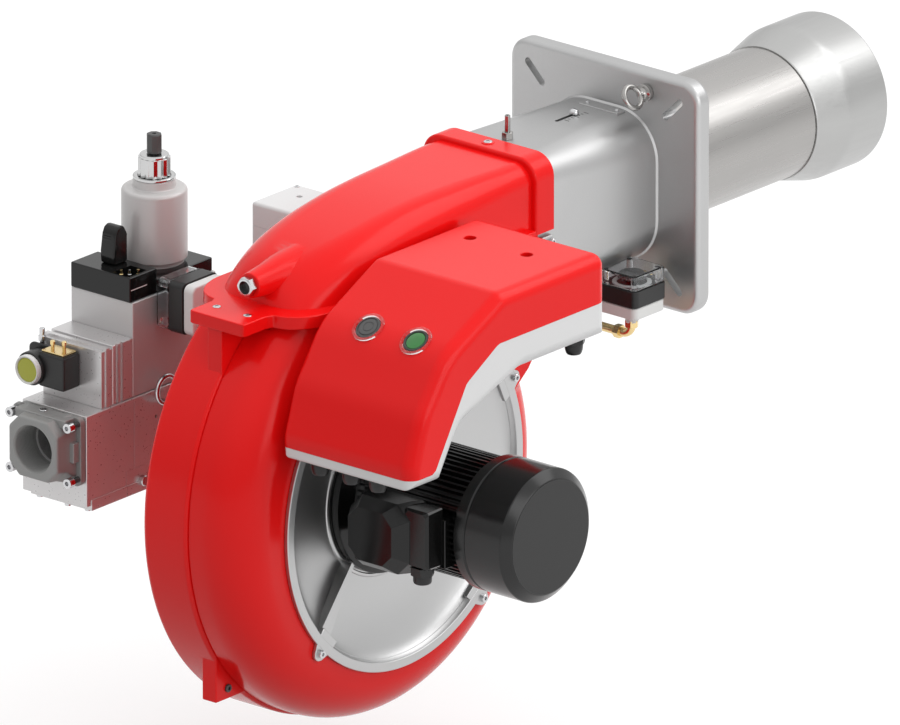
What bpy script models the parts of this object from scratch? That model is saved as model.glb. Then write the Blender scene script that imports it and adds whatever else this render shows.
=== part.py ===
"""Industrial monobloc gas burner with its gas train. World frame: +Y fires into the boiler, +X is the motor side,
+Z is up, and the origin is the centre of the mounting flange's boiler face. Sizes are in millimetres until MM."""

import math

import bmesh
import bpy
from mathutils import Matrix, Vector

MM = 0.001
FIT = 0.3  # clearance left between pieces that touch
RUN = 1.0  # clearance round pieces that turn or slide

# mounting flange and head
FLANGE = 296.0
FLANGE_T = 25.0
HEAD_W = 84.0  # half width of the head casting
HEAD_H = 95.0  # half height
HEAD_BACK = -250.0
WALL = 6.0

# blast tube and flare
TUBE_R = 83.0
TUBE_L = 277.0
FLARE_R = 97.5
FLARE_END = 396.0
SHEET = 3.0

# scroll, round the fan axis
AXIS_Y = -502.0
AXIS_Z = -254.0
SCROLL_R0 = 269.0  # outer radius of the volute straight ahead
SCROLL_GROW = 20.0  # growth for each quarter turn
SCROLL_LEFT = -84.0
SCROLL_RIGHT = 86.0
ROUND_OVER = 55.0
SPLIT = 8.0  # height of the split between scroll and duct cover
LEDGE_T = 8.0
LEDGE_W = 94.0

# fan
IMPELLER_R = 188.0
IMPELLER_B = 72.0
BLADES = 24
EYE_R = 96.0
SHAFT_R = 12.0

# motor
PLATE_R = 218.0
PLATE_HUB_R = 105.0
PLATE_HUB_X = 58.0
MOTOR_R = 80.0
COWL_R = 89.0
MOTOR_END = 318.0
COWL_START = 182.0
FINS = 24

# control box
BOX_X0 = 98.0
BOX_X1 = 298.0
BOX_BACK = -372.0
BOX_TOP = 66.0
BOX_WALL = 3.5

# gas train
GAS_X = -300.0
GAS_Z = -224.0
VALVE_W = 51.0
VALVE_FRONT = -691.0
VALVE_BACK = -450.0
BORE_R = 29.0
PIPE_R = 30.0

collection = bpy.data.collections.new("industrial_gas_burner")
helpers = bpy.data.collections.new("cutters")

COLOURS = {
    "cast_aluminium": ((0.62, 0.63, 0.64, 1), 1.0, 0.38),
    "brushed_steel": ((0.50, 0.50, 0.51, 1), 1.0, 0.32),
    "red_paint": ((0.78, 0.02, 0.02, 1), 0.0, 0.22),
    "black_paint": ((0.012, 0.012, 0.013, 1), 0.0, 0.30),
    "black_plastic": ((0.02, 0.02, 0.02, 1), 0.0, 0.45),
    "grey_plastic": ((0.62, 0.63, 0.64, 1), 0.0, 0.45),
    "clear_plastic": ((0.85, 0.88, 0.90, 1), 0.0, 0.10),
    "brass": ((0.75, 0.55, 0.20, 1), 1.0, 0.30),
    "steel": ((0.55, 0.56, 0.57, 1), 1.0, 0.28),
    "white_plastic": ((0.80, 0.80, 0.78, 1), 0.0, 0.40),
    "green_lens": ((0.05, 0.55, 0.10, 1), 0.0, 0.15),
    "glass": ((0.80, 0.85, 0.80, 1), 0.0, 0.05),
}


def clear_scene():
    for obj in list(bpy.data.objects):
        bpy.data.objects.remove(obj, do_unlink=True)
    bpy.context.scene.collection.children.link(collection)
    bpy.context.scene.collection.children.link(helpers)


def new_object(name, mesh, where=None):
    obj = bpy.data.objects.new(name, mesh)
    (where or collection).objects.link(obj)
    return obj


def finish_mesh(name, work):
    bmesh.ops.recalc_face_normals(work, faces=work.faces)
    mesh = bpy.data.meshes.new(name)
    work.to_mesh(mesh)
    work.free()
    return new_object(name, mesh)


def place(axis, u, v, along):
    """World point for a point (u, v) of the plane across an axis, at the distance along it."""
    if axis == "X":
        return (along * MM, u * MM, v * MM)
    if axis == "Y":
        return (u * MM, along * MM, v * MM)
    return (u * MM, v * MM, along * MM)


def loft(name, rings, axis="X"):
    """Closed body through rings, each (distance along the axis, points). All have the same number of points."""
    work = bmesh.new()
    rows = [[work.verts.new(place(axis, u, v, along)) for u, v in points] for along, points in rings]
    count = len(rows[0])
    for low, high in zip(rows, rows[1:]):
        for i in range(count):
            j = (i + 1) % count
            work.faces.new((low[i], low[j], high[j], high[i]))
    work.faces.new(rows[0])
    work.faces.new(rows[-1])
    return finish_mesh(name, work)


def prism(name, points, low, high, axis="X"):
    return loft(name, [(low, points), (high, points)], axis)


def box(name, x, y, z):
    return prism(name, [(x[0], y[0]), (x[1], y[0]), (x[1], y[1]), (x[0], y[1])], z[0], z[1], "Z")


def circle(u, v, radius, count=32, start=0.0):
    turn = 2 * math.pi / count
    return [(u + radius * math.cos(start + i * turn), v + radius * math.sin(start + i * turn)) for i in range(count)]


def rounded(half_u, half_v, radius, steps=6, u=0.0, v=0.0):
    """Rectangle with round corners, as points that run anticlockwise."""
    points = []
    for turn, (su, sv) in enumerate(((1, 1), (-1, 1), (-1, -1), (1, -1))):
        for step in range(steps + 1):
            angle = math.pi / 2 * (turn + step / steps)
            points.append(
                (
                    u + su * (half_u - radius) + radius * math.cos(angle),
                    v + sv * (half_v - radius) + radius * math.sin(angle),
                )
            )
    return points


def cylinder(name, axis, u, v, radius, low, high, count=32):
    return prism(name, circle(u, v, radius, count), low, high, axis)


def turned(name, axis, u, v, profile, count=48):
    """Body of revolution round a line along the axis. The profile is closed: (radius, distance along the axis)."""
    work = bmesh.new()
    rows = []
    for radius, along in profile:
        if radius < 1e-6:
            rows.append([work.verts.new(place(axis, u, v, along))])
        else:
            rows.append([work.verts.new(place(axis, a, b, along)) for a, b in circle(u, v, radius, count)])
    pairs = list(zip(rows, rows[1:]))
    if len(rows[0]) > 1 or len(rows[-1]) > 1:
        pairs.append((rows[-1], rows[0]))
    for low, high in pairs:
        for i in range(count):
            j = (i + 1) % count
            ends = [low[i % len(low)], low[j % len(low)], high[j % len(high)], high[i % len(high)]]
            corners = list(dict.fromkeys(ends))
            if len(corners) > 2:
                work.faces.new(corners)
    return finish_mesh(name, work)


def solid_of(obj):
    graph = bpy.context.evaluated_depsgraph_get()
    return bpy.data.meshes.new_from_object(obj.evaluated_get(graph))


def settle(obj):
    """Applies the modifiers of an object."""
    mesh = solid_of(obj)
    obj.modifiers.clear()
    obj.data = mesh
    return obj


def soften(obj, width, segments=2, angle=35):
    bevel = obj.modifiers.new("soft_edges", "BEVEL")
    bevel.width = width * MM
    bevel.segments = segments
    bevel.limit_method = "ANGLE"
    bevel.angle_limit = math.radians(angle)
    bevel.use_clamp_overlap = True
    return settle(obj)


def combine(obj, others, operation):
    for other in others:
        cut = obj.modifiers.new(operation.lower(), "BOOLEAN")
        cut.operation = operation
        cut.solver = "EXACT"
        cut.object = other
        settle(obj)
        bpy.data.objects.remove(other, do_unlink=True)
    work = bmesh.new()
    work.from_mesh(obj.data)
    bmesh.ops.remove_doubles(work, verts=work.verts, dist=2e-6)
    bmesh.ops.dissolve_degenerate(work, edges=work.edges, dist=1e-6)
    work.to_mesh(obj.data)
    work.free()
    return obj


def cut(obj, *others):
    return combine(obj, others, "DIFFERENCE")


def fuse(obj, *others):
    return combine(obj, others, "UNION")


def common(obj, *others):
    return combine(obj, others, "INTERSECT")


def inset(points, distance):
    """The polygon moved inwards by a distance, or by one distance for each point."""
    area = sum(a[0] * b[1] - b[0] * a[1] for a, b in zip(points, points[1:] + points[:1]))
    side = 1.0 if area > 0 else -1.0
    count = len(points)
    result = []
    for i, point in enumerate(points):
        depth = distance[i] if isinstance(distance, list) else distance
        before, after = points[i - 1], points[(i + 1) % count]
        first = Vector((point[0] - before[0], point[1] - before[1])).normalized()
        second = Vector((after[0] - point[0], after[1] - point[1])).normalized()
        normals = [Vector((-d.y, d.x)) * side for d in (first, second)]
        middle = normals[0] + normals[1]
        move = middle * (depth / max(middle.dot(normals[0]), 0.35))
        result.append((point[0] + move.x, point[1] + move.y))
    return result


def bent_tube(name, points, radius, bend, inner=None, sides=24, steps=6):
    """Round bar or pipe along a broken line with round bends."""
    path = [Vector(points[0])]
    for before, here, after in zip(points, points[1:], points[2:]):
        before, here, after = Vector(before), Vector(here), Vector(after)
        into, out = (here - before).normalized(), (after - here).normalized()
        half = into.angle(out) / 2
        centre = here + (out - into).normalized() * (bend / math.cos(half))
        spin = into.cross(out).normalized()
        start = here - into * (bend * math.tan(half)) - centre
        for step in range(steps + 1):
            path.append(centre + Matrix.Rotation(2 * half * step / steps, 3, spin) @ start)
    path.append(Vector(points[-1]))

    def rings(size):
        result = []
        tangents = []
        for i in range(len(path)):
            low, high = path[max(i - 1, 0)], path[min(i + 1, len(path) - 1)]
            tangents.append((high - low).normalized())
        side = tangents[0].orthogonal().normalized()
        for i, (centre, along) in enumerate(zip(path, tangents)):
            if i:
                side = tangents[i - 1].rotation_difference(along) @ side
            other = along.cross(side)
            result.append(
                [centre + (side * math.cos(t) + other * math.sin(t)) * size
                 for t in (2 * math.pi * k / sides for k in range(sides))]
            )
        return result

    work = bmesh.new()
    skins = []
    for size in [radius] + ([inner] if inner else []):
        rows = [[work.verts.new(point * MM) for point in ring] for ring in rings(size)]
        for low, high in zip(rows, rows[1:]):
            for i in range(sides):
                j = (i + 1) % sides
                work.faces.new((low[i], low[j], high[j], high[i]))
        skins.append(rows)
    for end in (0, -1):
        if inner:
            for i in range(sides):
                j = (i + 1) % sides
                a, b = skins[0][end], skins[1][end]
                work.faces.new((a[i], a[j], b[j], b[i]))
        else:
            work.faces.new(skins[0][end])
    return finish_mesh(name, work)


def ring(name, centre, normal, radius, thickness, sides=6, count=16):
    """Torus round a line in the direction normal."""
    spin = Vector(normal).to_track_quat("Z", "Y")
    work = bmesh.new()
    rows = []
    for i in range(count):
        a = 2 * math.pi * i / count
        row = []
        for k in range(sides):
            b = 2 * math.pi * k / sides
            reach = radius + thickness * math.cos(b)
            local = Vector((reach * math.cos(a), reach * math.sin(a), thickness * math.sin(b)))
            row.append(work.verts.new((Vector(centre) + spin @ local) * MM))
        rows.append(row)
    for i in range(count):
        low, high = rows[i], rows[(i + 1) % count]
        for k in range(sides):
            j = (k + 1) % sides
            work.faces.new((low[k], low[j], high[j], high[k]))
    return finish_mesh(name, work)


def tilt(obj, centre, angle, axis):
    """Turns the mesh round a point by an angle in degrees."""
    pivot = Vector(centre) * MM
    turn = Matrix.Rotation(math.radians(angle), 4, axis)
    obj.data.transform(Matrix.Translation(pivot) @ turn @ Matrix.Translation(-pivot))
    return obj


def paint(obj, slot):
    colour, metallic, roughness = COLOURS[slot]
    material = bpy.data.materials.new(slot + "." + obj.name)
    material.use_nodes = True
    shader = material.node_tree.nodes["Principled BSDF"]
    shader.inputs["Base Color"].default_value = colour
    shader.inputs["Metallic"].default_value = metallic
    shader.inputs["Roughness"].default_value = roughness
    obj.data.materials.clear()
    obj.data.materials.append(material)
    return obj


def pivot_at(obj, point):
    """Moves the origin of a moving piece onto its joint axis."""
    shift = Vector(point) * MM
    obj.data.transform(Matrix.Translation(-shift))
    obj.location = shift
    return obj


def head_section(back):
    """Outline of the head casting: almost square at the back and rounder at the flange."""
    radius = 58.0 - 28.0 * back
    return rounded(HEAD_W - 1.5 * back, HEAD_H, radius, 5)


def make_head():
    front = -FLANGE_T
    ways = [0.0, 0.25, 0.5, 0.75, 1.0]
    body = loft(
        "head_casting",
        [(front + 2, head_section(0))] + [(front + (HEAD_BACK - front) * w, head_section(w)) for w in ways],
        "Y",
    )
    plate = prism("plate", rounded(FLANGE / 2, FLANGE / 2, 27, 6), -FLANGE_T, 0, "Y")
    soften(plate, 6, 2)
    fillet = loft(
        "fillet",
        [
            (-FLANGE_T + 1, inset(head_section(0), -7.0)),
            (-FLANGE_T - 2, inset(head_section(0), -4.0)),
            (-FLANGE_T - 7, inset(head_section(0), -1.0)),
            (-FLANGE_T - 12, inset(head_section(0), 0.6)),
        ],
        "Y",
    )
    lug = box("lug", (HEAD_W - 8, HEAD_W + 6), (-246, -226), (-14, 2))
    other_lug = box("lug", (-HEAD_W - 6, -HEAD_W + 8), (-246, -226), (-14, 2))
    fuse(body, plate, fillet, lug, other_lug)
    bore = loft(
        "bore",
        [
            (HEAD_BACK - 5, inset(head_section(1), WALL)),
            (-150, inset(head_section(0.5), WALL)),
            (-70, inset(head_section(0.2), WALL + 2)),
            (-30, circle(0, 0, TUBE_R - SHEET - 4, 32, math.pi / 64)),
            (5, circle(0, 0, TUBE_R - SHEET - 4, 32, math.pi / 64)),
        ],
        "Y",
    )
    cutters = [bore]
    for sx in (-1, 1):
        for sz in (-1, 1):
            slot = prism("slot", rounded(14, 4.5, 4.4, 4), -40, 10, "Y")
            slot.data.transform(Matrix.Rotation(math.radians(-45 * sx * sz), 4, "Y"))
            slot.data.transform(Matrix.Translation(Vector((sx * 108, 0, sz * 110)) * MM))
            cutters.append(slot)
    cutters.append(cylinder("gas_hole", "Z", MANIFOLD_X, MANIFOLD_Y, PIPE_R - 2.5, -120, -70))
    cutters.append(box("index_slot", (-2.5, 2.5), (INDEX_Y - INDEX_RUN - 3, INDEX_Y + 3), (80, 110)))
    cut(body, *cutters)
    return paint(body, "cast_aluminium")


def make_tubes():
    inner = TUBE_R - SHEET
    tube = turned(
        "blast_tube",
        "Y",
        0,
        0,
        [(inner, FIT), (TUBE_R + 9, FIT), (TUBE_R + 9, 5), (TUBE_R, 5), (TUBE_R, TUBE_L), (inner, TUBE_L)],
        40,
    )
    paint(tube, "brushed_steel")
    flare = turned(
        "flare_sleeve",
        "Y",
        0,
        0,
        [
            (inner - FIT - 3, TUBE_L - 22),
            (inner - FIT, TUBE_L - 22),
            (inner - FIT, TUBE_L + FIT),
            (TUBE_R + 1.5, TUBE_L + FIT),
            (FLARE_R - 1, TUBE_L + 44),
            (FLARE_R, TUBE_L + 50),
            (FLARE_R, FLARE_END - 2),
            (FLARE_R - 1.5, FLARE_END),
            (FLARE_R - 4, FLARE_END),
            (FLARE_R - 4, TUBE_L + 51),
            (inner - FIT - 3, TUBE_L + 8),
        ],
        40,
    )
    paint(flare, "cast_aluminium")


def volute(angle):
    """Outer radius of the scroll. The angle in degrees runs from straight ahead down, back and up."""
    return SCROLL_R0 + SCROLL_GROW * angle / 90.0


def on_volute(angle, radius):
    turn = math.radians(angle)
    return (AXIS_Y + radius * math.cos(turn), AXIS_Z - radius * math.sin(turn))


def ledge_outline(grow=0.0):
    """Plan of the flange between scroll and duct cover, with its tab at the back."""
    wide = LEDGE_W + grow
    back = -704.0 - grow
    points = [(wide, HEAD_BACK - 12), (wide, back + 70)]
    for step in range(1, 6):
        angle = math.pi / 2 * step / 6
        points.append((wide - 45 + 45 * math.cos(angle), back + 70 - 62 * math.sin(angle)))
    points += [(43 + grow, back + 4), (43 + grow, back - 32), (37 + grow, back - 38)]
    return points + [(-x, y) for x, y in reversed(points)]


def scroll_outline():
    """Outer outline in (y, z) and how far each point follows the round-over."""
    points, weights = [], []
    first, last, count = -24, 235, 37
    for i in range(count + 1):
        angle = first + (last - first) * i / count
        points.append(on_volute(angle, volute(angle)))
        weights.append(min(1.0, max(0.0, (angle - first) / 45.0)))
    end = points[-1]
    points += [(end[0] + 12, 60.0), (HEAD_BACK - FIT, 60.0), (HEAD_BACK - FIT, -60.0)]
    weights += [1.0, 0.0, 0.0]
    return points, weights


def make_scroll():
    points, weights = scroll_outline()
    layers = [(SCROLL_LEFT, 12.0), (SCROLL_LEFT + 3.5, 5.0), (SCROLL_LEFT + 12, 0.0), (-18, 0.0), (-16, 2.5)]
    start = SCROLL_RIGHT - ROUND_OVER
    for step in range(5):
        angle = math.pi / 2 * step / 4
        layers.append((start + ROUND_OVER * math.sin(angle), 2.5 + (ROUND_OVER - 2.5) * (1 - math.cos(angle))))
    body = loft("scroll_housing", [(x, inset(points, [d * w for w in weights])) for x, d in layers], "X")
    keep = box("keep", (-300, 300), (-1000, 0), (-900, SPLIT))
    common(body, keep)
    ledge = prism("ledge", ledge_outline(), SPLIT - LEDGE_T, SPLIT, "Z")
    corner = on_volute(137, volute(137))
    foot = box("foot", (-30, 22), (corner[0] - 16, corner[0] + 34), (corner[1] - 26, corner[1] + 22))
    bracket = box("bracket", (-17, 7), (-738, -655), (-62, SPLIT - LEDGE_T + 1))
    fuse(body, ledge, foot, bracket)

    inside = []
    low, high = -46, 233
    for i in range(37):
        angle = low + (high - low) * i / 36
        ease = min(1.0, (angle - low) / 40.0)
        start_r = IMPELLER_R + 14
        radius = start_r + (volute(angle) - WALL - start_r) * ease * ease * (3 - 2 * ease)
        inside.append(on_volute(angle, radius))
    inside += [(inside[-1][0] + 14, 30.0), (HEAD_BACK + 10, 30.0), (HEAD_BACK + 10, -86.0)]
    inside += [(HEAD_BACK - 20, -86.0), (-330.0, -98.0)]
    air = prism("air", inside, SCROLL_LEFT + WALL, 34.0, "X")
    neck = box("neck", (30, SCROLL_RIGHT - WALL), (-628, HEAD_BACK - 14), (-84, 30))
    throat = box("throat", (30, 76), (-300, HEAD_BACK + 10), (-84, 30))
    fuse(air, neck, throat)
    door = turned(
        "door",
        "X",
        AXIS_Y,
        AXIS_Z,
        [(0, 30), (252, 30), (243, 44), (224, 62), (PLATE_R - 14, 70), (PLATE_R - 14, 100), (0, 100)],
        48,
    )
    eye = cylinder("eye", "X", AXIS_Y, AXIS_Z, EYE_R, -100, -60, 36)
    cutters = [air, door, eye]
    cut(body, *cutters)
    paint(body, "red_paint")


def duct_profile(grow=0.0):
    """Side view of the duct cover, in (y, z), from the split line at the back over the top to the collar."""
    back = [(-672, SPLIT), (-668, 26), (-655, 44), (-630, 60), (-590, 73), (-540, 83), (-480, 91), (-420, 95)]
    points = [(y, z) for y, z in back] + [(HEAD_BACK + 12, 96.0), (HEAD_BACK + 12, SPLIT)]
    return inset(points, -grow) if grow else points


def make_duct():
    low = SPLIT + FIT
    side = duct_profile()
    body = prism("duct_cover", [(y, z if z > SPLIT else -60.0) for y, z in side], -82, 82, "X")
    soften(body, 26, 3, 60)
    plan = [(82.5, HEAD_BACK + 5), (82.5, -590)]
    for step in range(1, 6):
        angle = math.pi / 2 * step / 5
        plan.append((82.5 - 62 + 62 * math.cos(angle), -590 - 90 * math.sin(angle)))
    plan += [(-x, y) for x, y in reversed(plan)]
    common(body, prism("plan", plan, -80, 200, "Z"))
    collar = prism("collar", rounded(89.5, 102, 28, 5), HEAD_BACK - 8, HEAD_BACK + 28, "Y")
    soften(collar, 2.5, 2, 50)
    ledge = prism("ledge", ledge_outline(), low, low + LEDGE_T, "Z")
    boss = turned(
        "boss", "Y", 0, 44, [(0, -690), (15, -690), (16, -688), (24, -640), (28, -600), (0, -600)], 28
    )
    screw_pad = cylinder("pad", "Z", 0, -241, 8, 95, 103, 20)
    fuse(body, collar, ledge, boss, screw_pad)
    common(body, box("keep", (-300, 300), (-1000, 0), (low, 200)))
    inner = [(y, z if z > SPLIT else -60.0) for y, z in side]
    hollow = prism("hollow", inset(inner, WALL - 1.0), -76, 76, "X")
    soften(hollow, 21, 2, 60)
    slim = inset(plan, WALL)
    common(hollow, prism("slim", slim, -60, 200, "Z"))
    throat = prism(
        "throat", inset(head_section(1), -FIT), HEAD_BACK - FIT, HEAD_BACK + 40, "Y"
    )
    link = prism("link", inset(head_section(1), WALL), HEAD_BACK - 30, HEAD_BACK + 10, "Y")
    sight = cylinder("sight", "Y", 0, 44, 6.5, -700, -590, 20)
    cutters = [hollow, throat, link, sight]
    cut(body, *cutters)
    paint(body, "red_paint")
    nut = turned(
        "sight_glass",
        "Y",
        0,
        44,
        [(0, -694), (8, -694), (8, -700), (12, -700), (12, -690 - FIT), (6.2, -690 - FIT), (6.2, -672), (0, -672)],
        6,
    )
    paint(nut, "steel")


def make_motor_plate():
    """Cast plate that closes the scroll and carries the motor, with a stiffening rib."""
    x0 = SCROLL_RIGHT + FIT
    hub_x = PLATE_HUB_X
    plate = turned(
        "motor_plate",
        "X",
        AXIS_Y,
        AXIS_Z,
        [
            (SHAFT_R + 20, hub_x - 8),
            (PLATE_HUB_R, hub_x - 8),
            (PLATE_R - 22, x0 - 12),
            (PLATE_R - 16, x0 - 12),
            (PLATE_R - 16, x0),
            (PLATE_R, x0),
            (PLATE_R, x0 + 5),
            (PLATE_R - 3, x0 + 6),
            (PLATE_R - 12, x0 + 6),
            (PLATE_R - 20, x0 - 4),
            (PLATE_HUB_R + 3, hub_x),
            (SHAFT_R + 20, hub_x),
        ],
        40,
    )
    ribs = []
    for angle in (105, 225, 345):
        rib = prism("rib", [(PLATE_HUB_R - 2, hub_x - 3), (PLATE_R - 17, x0 - 8), (PLATE_R - 17, x0 + 1),
                            (PLATE_HUB_R - 2, hub_x + 14)], -3, 3, "X")
        # the profile is drawn as (radius, x), so it is turned into place round the fan axis
        turn = math.radians(angle)
        for vertex in rib.data.vertices:
            across, radius, x = vertex.co.x, vertex.co.y, vertex.co.z
            vertex.co = (
                x,
                AXIS_Y * MM + radius * math.cos(turn) + across * math.sin(turn),
                AXIS_Z * MM - radius * math.sin(turn) + across * math.cos(turn),
            )
        work = bmesh.new()
        work.from_mesh(rib.data)
        bmesh.ops.recalc_face_normals(work, faces=work.faces)
        work.to_mesh(rib.data)
        work.free()
        ribs.append(rib)
    fuse(plate, *ribs)
    paint(plate, "cast_aluminium")


def make_fan():
    """Forward curved impeller: back plate with its hub, blades and front ring in one piece."""
    back_x, front_x = 40.0, 40.0 - IMPELLER_B
    inner_r = IMPELLER_R * 0.78
    wheel = turned(
        "impeller",
        "X",
        AXIS_Y,
        AXIS_Z,
        [
            (SHAFT_R + FIT, front_x + 22),
            (26, front_x + 22),
            (30, back_x - 14),
            (inner_r * 0.6, back_x - 4),
            (IMPELLER_R, back_x - 3),
            (IMPELLER_R, back_x),
            (inner_r * 0.6, back_x),
            (30, back_x - 4),
            (SHAFT_R + FIT, back_x - 4),
        ],
        36,
    )
    front = turned(
        "front_ring",
        "X",
        AXIS_Y,
        AXIS_Z,
        [(inner_r + 2, front_x), (IMPELLER_R, front_x), (IMPELLER_R, front_x + 3), (inner_r + 2, front_x + 3)],
        36,
    )
    work = bmesh.new()
    for blade in range(BLADES):
        base = 2 * math.pi * blade / BLADES
        line = []
        for step in range(4):
            t = step / 3
            radius = inner_r + 1 + (IMPELLER_R - 2.5 - inner_r) * t
            line.append((radius, base + 0.11 * t * t))
        for x_low, x_high in ((front_x + 1, back_x - 1),):
            rows = []
            for radius, angle in line:
                row = []
                for half in (-0.9, 0.9):
                    for x in (x_low, x_high):
                        y = AXIS_Y + radius * math.cos(angle) - half * math.sin(angle)
                        z = AXIS_Z - radius * math.sin(angle) - half * math.cos(angle)
                        row.append(work.verts.new((x * MM, y * MM, z * MM)))
                rows.append([row[0], row[1], row[3], row[2]])
            for low, high in zip(rows, rows[1:]):
                for i in range(4):
                    j = (i + 1) % 4
                    work.faces.new((low[i], low[j], high[j], high[i]))
            work.faces.new(rows[0])
            work.faces.new(rows[-1])
    blades = finish_mesh("blades", work)
    fuse(wheel, front, blades)
    paint(wheel, "steel")
    pivot_at(wheel, (0, AXIS_Y, AXIS_Z))

    shaft = turned(
        "motor_shaft",
        "X",
        AXIS_Y,
        AXIS_Z,
        [(0, -16), (SHAFT_R - 1, -16), (SHAFT_R, -14), (SHAFT_R, MOTOR_END - 30), (0, MOTOR_END - 30)],
        32,
    )
    pivot_at(paint(shaft, "steel"), (0, AXIS_Y, AXIS_Z))

    hub = turned(
        "cooling_fan",
        "X",
        AXIS_Y,
        AXIS_Z,
        [
            (SHAFT_R + FIT, MOTOR_END - 78),
            (22, MOTOR_END - 78),
            (24, MOTOR_END - 60),
            (70, MOTOR_END - 58),
            (70, MOTOR_END - 55),
            (22, MOTOR_END - 55),
            (SHAFT_R + FIT, MOTOR_END - 55),
        ],
        32,
    )
    vanes = []
    for i in range(6):
        vane = box("vane", (MOTOR_END - 56, MOTOR_END - 36), (-1.5, 1.5), (20, 68))
        vane.data.transform(Matrix.Rotation(2 * math.pi * i / 6, 4, "X"))
        vane.data.transform(Matrix.Translation(Vector((0, AXIS_Y, AXIS_Z)) * MM))
        vanes.append(vane)
    fuse(hub, *vanes)
    pivot_at(paint(hub, "black_plastic"), (0, AXIS_Y, AXIS_Z))


def make_motor():
    x0 = PLATE_HUB_X + FIT
    finned = []
    for i in range(FINS):
        base = 2 * math.pi * i / FINS
        for offset, radius in ((-0.30, MOTOR_R - 9), (-0.12, MOTOR_R), (0.12, MOTOR_R), (0.30, MOTOR_R - 9)):
            angle = base + offset * 2 * math.pi / FINS
            finned.append((AXIS_Y + radius * math.cos(angle), AXIS_Z + radius * math.sin(angle)))
    frame = prism("motor_frame", finned, x0 + 22, COWL_START + 22, "X")
    flange = turned(
        "flange",
        "X",
        AXIS_Y,
        AXIS_Z,
        [
            (0, x0),
            (PLATE_HUB_R - 6, x0),
            (PLATE_HUB_R - 4, x0 + 2),
            (PLATE_HUB_R - 4, x0 + 12),
            (MOTOR_R - 6, x0 + 18),
            (MOTOR_R - 8, x0 + 30),
            (0, x0 + 30),
        ],
        36,
    )
    shield = turned(
        "shield",
        "X",
        AXIS_Y,
        AXIS_Z,
        [(0, COWL_START + 15), (MOTOR_R - 4, COWL_START + 15), (MOTOR_R - 4, COWL_START + 30), (50, COWL_START + 40),
         (0, COWL_START + 40)],
        28,
    )
    pad = box("pad", (100, 170), (AXIS_Y - MOTOR_R - 4, AXIS_Y - MOTOR_R + 22), (AXIS_Z - 34, AXIS_Z + 18))
    fuse(frame, flange, shield, pad)
    cut(frame, cylinder("bore", "X", AXIS_Y, AXIS_Z, SHAFT_R + RUN, 0, 400, 24))
    paint(frame, "black_paint")

    cowl = turned(
        "fan_cowl",
        "X",
        AXIS_Y,
        AXIS_Z,
        [
            (COWL_R - 2, COWL_START),
            (COWL_R, COWL_START),
            (COWL_R, MOTOR_END - 16),
            (COWL_R - 4, MOTOR_END - 9),
            (COWL_R - 20, MOTOR_END),
            (22, MOTOR_END),
            (22, MOTOR_END - 2),
            (COWL_R - 21, MOTOR_END - 2),
            (COWL_R - 6, MOTOR_END - 10),
            (COWL_R - 2, MOTOR_END - 17),
        ],
        36,
    )
    centre = cylinder("centre", "X", AXIS_Y, AXIS_Z, 23, MOTOR_END - 2, MOTOR_END, 32)
    struts = []
    for i in range(4):
        turn = math.radians(45 + 90 * i)
        reach = (MOTOR_R + FIT + COWL_R - 1) / 2
        half = (COWL_R - 1 - MOTOR_R - FIT) / 2
        y, z = AXIS_Y + reach * math.cos(turn), AXIS_Z + reach * math.sin(turn)
        clip = box("clip", (COWL_START + 1, COWL_START + 24), (-half, half), (-4, 4))
        clip.data.transform(Matrix.Rotation(turn, 4, "X"))
        clip.data.transform(Matrix.Translation(Vector((0, y, z)) * MM))
        struts.append(clip)
    fuse(cowl, centre, *struts)
    paint(cowl, "black_paint")

    front = AXIS_Y - MOTOR_R - 4 - FIT
    terminal = box("terminal_box", (95, 175), (front - 44, front), (AXIS_Z - 48, AXIS_Z + 26))
    soften(terminal, 7, 2)
    paint(terminal, "black_plastic")
    gland = turned(
        "motor_gland",
        "Z",
        158,
        front - 22,
        [(0, AXIS_Z - 48 - FIT), (11, AXIS_Z - 48 - FIT), (11, AXIS_Z - 60), (8, AXIS_Z - 66), (8, AXIS_Z - 70),
         (0, AXIS_Z - 70)],
        6,
    )
    paint(gland, "black_plastic")


def box_profile():
    """Side view of the whole control box, in (y, z), anticlockwise from the back top."""
    return [
        (BOX_BACK, BOX_TOP),
        (-566, BOX_TOP),
        (-668, 16),
        (-715, -50),
        (-736, -113),
        (-733, -140),
        (-676, -140),
        (-640, -80),
        (-530, -39),
        (BOX_BACK, -39),
    ]


def parting_line():
    """Line between the red cover and the grey base, from the front to the back."""
    return [(-800, -126), (-692, -126), (-634, -29), (-576, 6), (-300, 6)]


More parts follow.
